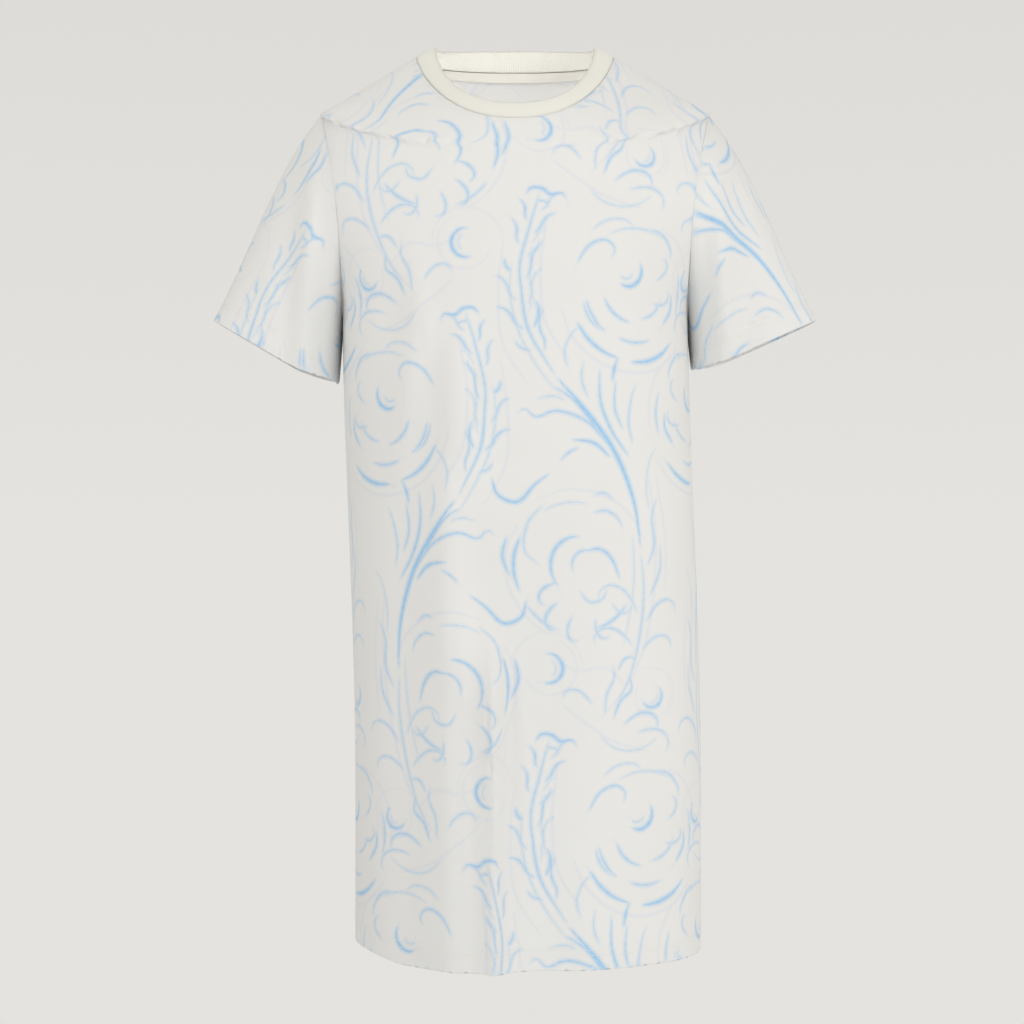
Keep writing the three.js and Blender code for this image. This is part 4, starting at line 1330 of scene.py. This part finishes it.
def ribbon(name, lines, depth, thickness, closed, material):
    """A flat strip behind the cloth's face that follows lines of points and directions."""
    front = [points - normals * depth for points, normals in lines]
    rear = [points - normals * (depth + thickness) for points, normals in lines]
    edges = []
    for k in (0, -1):
        points, normals = lines[k]
        other = lines[1 if k == 0 else -2][0]
        past = unit(points - other) * thickness * 0.4
        edges.append(points + past - normals * (depth + thickness / 2))
    rings = np.stack([edges[0], *front, edges[1], *rear[::-1]], axis=1)
    length = float(np.linalg.norm(np.diff(lines[0][0], axis=0), axis=1).sum())
    width = float(np.linalg.norm(lines[0][0] - lines[-1][0], axis=1).mean())
    return cloth_object(name, rings, closed, material, (length, 2 * width))


def lines_at(name, rows, columns, distances):
    return [seam_line(name, rows, columns, distance) for distance in distances]


SEAM_LINES = [SEAM_INSET + SEAM_WIDTH * k / 2 for k in range(3)]
neck_seam = ribbon(
    "neck_seam_binding", [neckline(d, 2) for d in SEAM_LINES], BEHIND, SEAM_THICKNESS, True,
    overlock)
columns = np.linspace(0.4, PANEL_COLUMNS - 0.4, 120)
top = np.full(len(columns), grids["back"].shape[0] - 1.0)
neck_tape = ribbon(
    "neck_tape", lines_at("back", top, columns, [0.4 * MM + TAPE_WIDTH * k / 4 for k in range(5)]),
    BEHIND + SEAM_THICKNESS + 0.2 * MM, TAPE_THICKNESS, False, cotton)
inner_pieces = {"neck_seam": neck_seam, "back_neck_tape": neck_tape}

TAPE_HALF = 4 * MM
for hand, front_column, back_column in (("left", PANEL_COLUMNS, 0), ("right", 0, PANEL_COLUMNS)):
    rows = np.linspace(TIP_ROW + 0.7, grids["front"].shape[0] - 1.9, 24)
    lines = []
    for side, column, distances in (
        ("front", front_column, (TAPE_HALF, TAPE_HALF / 2, 0.3 * MM)),
        ("back", back_column, (0.3 * MM, TAPE_HALF / 2, TAPE_HALF)),
    ):
        lines += lines_at(side, rows, np.full(len(rows), float(column)), distances)
    inner_pieces[f"{hand}_shoulder_tape"] = ribbon(
        f"{hand}_shoulder_binding", lines, BEHIND, TAPE_THICKNESS, False, cotton)
    rows = np.linspace(2.0, UNDERARM_ROW - 0.4, 160)
    inner_pieces[f"{hand}_side_seam"] = ribbon(
        f"{hand}_side_binding",
        lines_at("back", rows, np.full(len(rows), float(back_column)), SEAM_LINES),
        BEHIND, SEAM_THICKNESS, False, overlock)
    sleeve = f"{hand}_sleeve"
    columns = np.linspace(0, grids[sleeve].shape[1] - 1, 160, endpoint=False)
    inner_pieces[f"{hand}_armhole_seam"] = ribbon(
        f"{hand}_armhole_binding",
        lines_at(sleeve, np.zeros(len(columns)), columns, SEAM_LINES),
        BEHIND, SEAM_THICKNESS, True, overlock)
    rows = np.linspace(2.2, SLEEVE_ROWS - 5.5, 24)
    edge = 0.0 if hand == "left" else grids[sleeve].shape[1] - 1.0
    inner_pieces[f"{hand}_sleeve_seam"] = ribbon(
        f"{hand}_underarm_binding",
        lines_at(sleeve, rows, np.full(len(rows), edge), SEAM_LINES),
        BEHIND, SEAM_THICKNESS, False, overlock)
print("strips inside", len(inner_pieces))

# %% [markdown]
# ## Stitches
# One stitch is a small capsule. An array makes a row of them and a curve modifier lays the row
# along a line on the cloth: two rows above each hem and one round the collar seam.

# %% Stitch rows
STITCH_PITCH = 3.6 * MM
STITCH_LENGTH = 2.9 * MM
STITCH_RADIUS = 0.28 * MM
thread_material, _ = new_material("sewing_thread", linear(236, 234, 228), 0.7)


def stitch_row(name, path):
    """A closed row of stitches along a path."""
    closed = np.vstack([path, path[:1]])
    length = float(np.linalg.norm(np.diff(closed, axis=0), axis=1).sum())
    guide_data = bpy.data.curves.new(name + "_line", "CURVE")
    guide_data.dimensions = "3D"
    line = guide_data.splines.new("POLY")
    line.points.add(len(path) - 1)
    line.points.foreach_set("co", np.column_stack([path, np.ones(len(path))]).reshape(-1))
    line.use_cyclic_u = True
    guide = bpy.data.objects.new(name + "_line", guide_data)
    scene.collection.objects.link(guide)
    bpy.ops.object.select_all(action="DESELECT")
    bpy.ops.mesh.primitive_uv_sphere_add(
        segments=6, ring_count=4, radius=1, rotation=(0, math.pi / 2, 0))
    row = bpy.context.object
    row.name = name
    bpy.ops.object.transform_apply(rotation=True)
    row.scale = (STITCH_LENGTH / 2, STITCH_RADIUS, STITCH_RADIUS)
    bpy.ops.object.transform_apply(scale=True)
    bpy.ops.object.shade_smooth()
    row.data.materials.append(thread_material)
    count = round(length / STITCH_PITCH)
    array = row.modifiers.new("row", "ARRAY")
    array.count = count
    array.use_relative_offset = False
    array.use_constant_offset = True
    array.constant_offset_displace = (length / count, 0, 0)
    bend = row.modifiers.new("follow", "CURVE")
    bend.object = guide
    for modifier in ("row", "follow"):
        bpy.ops.object.modifier_apply(modifier=modifier)
    bpy.data.objects.remove(guide)
    return row


def lifted(lines, lift):
    points, normals = lines
    return points + normals * lift


stitches = {}
for label, height in (("lower", 17 * MM), ("upper", 22 * MM)):
    columns = np.linspace(0, PANEL_COLUMNS, PANEL_COLUMNS * 4 + 1)[:-1]
    loop = [seam_line(side, np.zeros(len(columns)), columns, height) for side in DEPTHS]
    path = np.concatenate([lifted(line, STITCH_RADIUS * 0.5) for line in loop])
    stitches[f"hem_thread_{label}"] = stitch_row(f"hem_stitches_{label}", path)
    for hand in ("left", "right"):
        sleeve = f"{hand}_sleeve"
        columns = np.linspace(0, grids[sleeve].shape[1] - 1, 160, endpoint=False)
        last = np.full(len(columns), float(SLEEVE_ROWS))
        path = lifted(seam_line(sleeve, last, columns, height), STITCH_RADIUS * 0.5)
        stitches[f"{hand}_cuff_thread_{label}"] = stitch_row(f"{hand}_cuff_stitches_{label}", path)
stitches["neck_thread"] = stitch_row("neck_stitches", lifted(neckline(3 * MM), STITCH_RADIUS * 0.5))
print("stitch rows", len(stitches))

# %% [markdown]
# ## Care label
# A blank satin label, sewn into the left side seam above the hem.

# %% Care label
LABEL_LOW, LABEL_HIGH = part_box("care_label")
satin, _ = new_material("satin_label", linear(244, 244, 242), 0.35, sheen=0.1)
heights = np.linspace(LABEL_HIGH.z, LABEL_LOW.z, 16)
side_edge = grids["back"][:UNDERARM_ROW, 0]
label_lines = []
for place in np.linspace(LABEL_LOW.y, LABEL_HIGH.y, 7):
    down = np.linspace(0, 1, len(heights))
    seat = np.interp(heights, side_edge[:, 2], side_edge[:, 0])
    curve = 1.2 * MM * np.sin(2.2 * down + 40 * place)
    round_side = 0.035 * (place / 0.011) ** 2 * 0.05
    x = seat - 5.5 * MM - round_side - curve - 2.0 * MM * down**2
    points = np.column_stack([x, np.full(len(x), place), heights])
    label_lines.append((points, np.tile((1.0, 0, 0), (len(x), 1))))
label = ribbon("side_label", label_lines, 0.0, 0.35 * MM, False, satin)
print("label", round(LABEL_HIGH.z - LABEL_LOW.z, 3), "high")

# %% [markdown]
# ## Handing over
# Every piece rides on the one body and stands for the CAD nodes that it replaces, which are hidden.

# %% Hand over
CLOTH_NODES = {
    "front": "front_panel", "back": "back_panel",
    "left_sleeve": "left_sleeve", "right_sleeve": "right_sleeve",
}


def hand_over(piece, node_name):
    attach(piece, "root")
    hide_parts(node_name)


for name, node_name in CLOTH_NODES.items():
    piece = PIECES[name]["object"]
    piece.name = f"{node_name}_cloth"
    hand_over(piece, node_name)
hand_over(collar, "neck_rib")
for node_name, piece in inner_pieces.items():
    hand_over(piece, node_name)
for node_name, piece in stitches.items():
    hand_over(piece, node_name)
hand_over(label, "care_label")
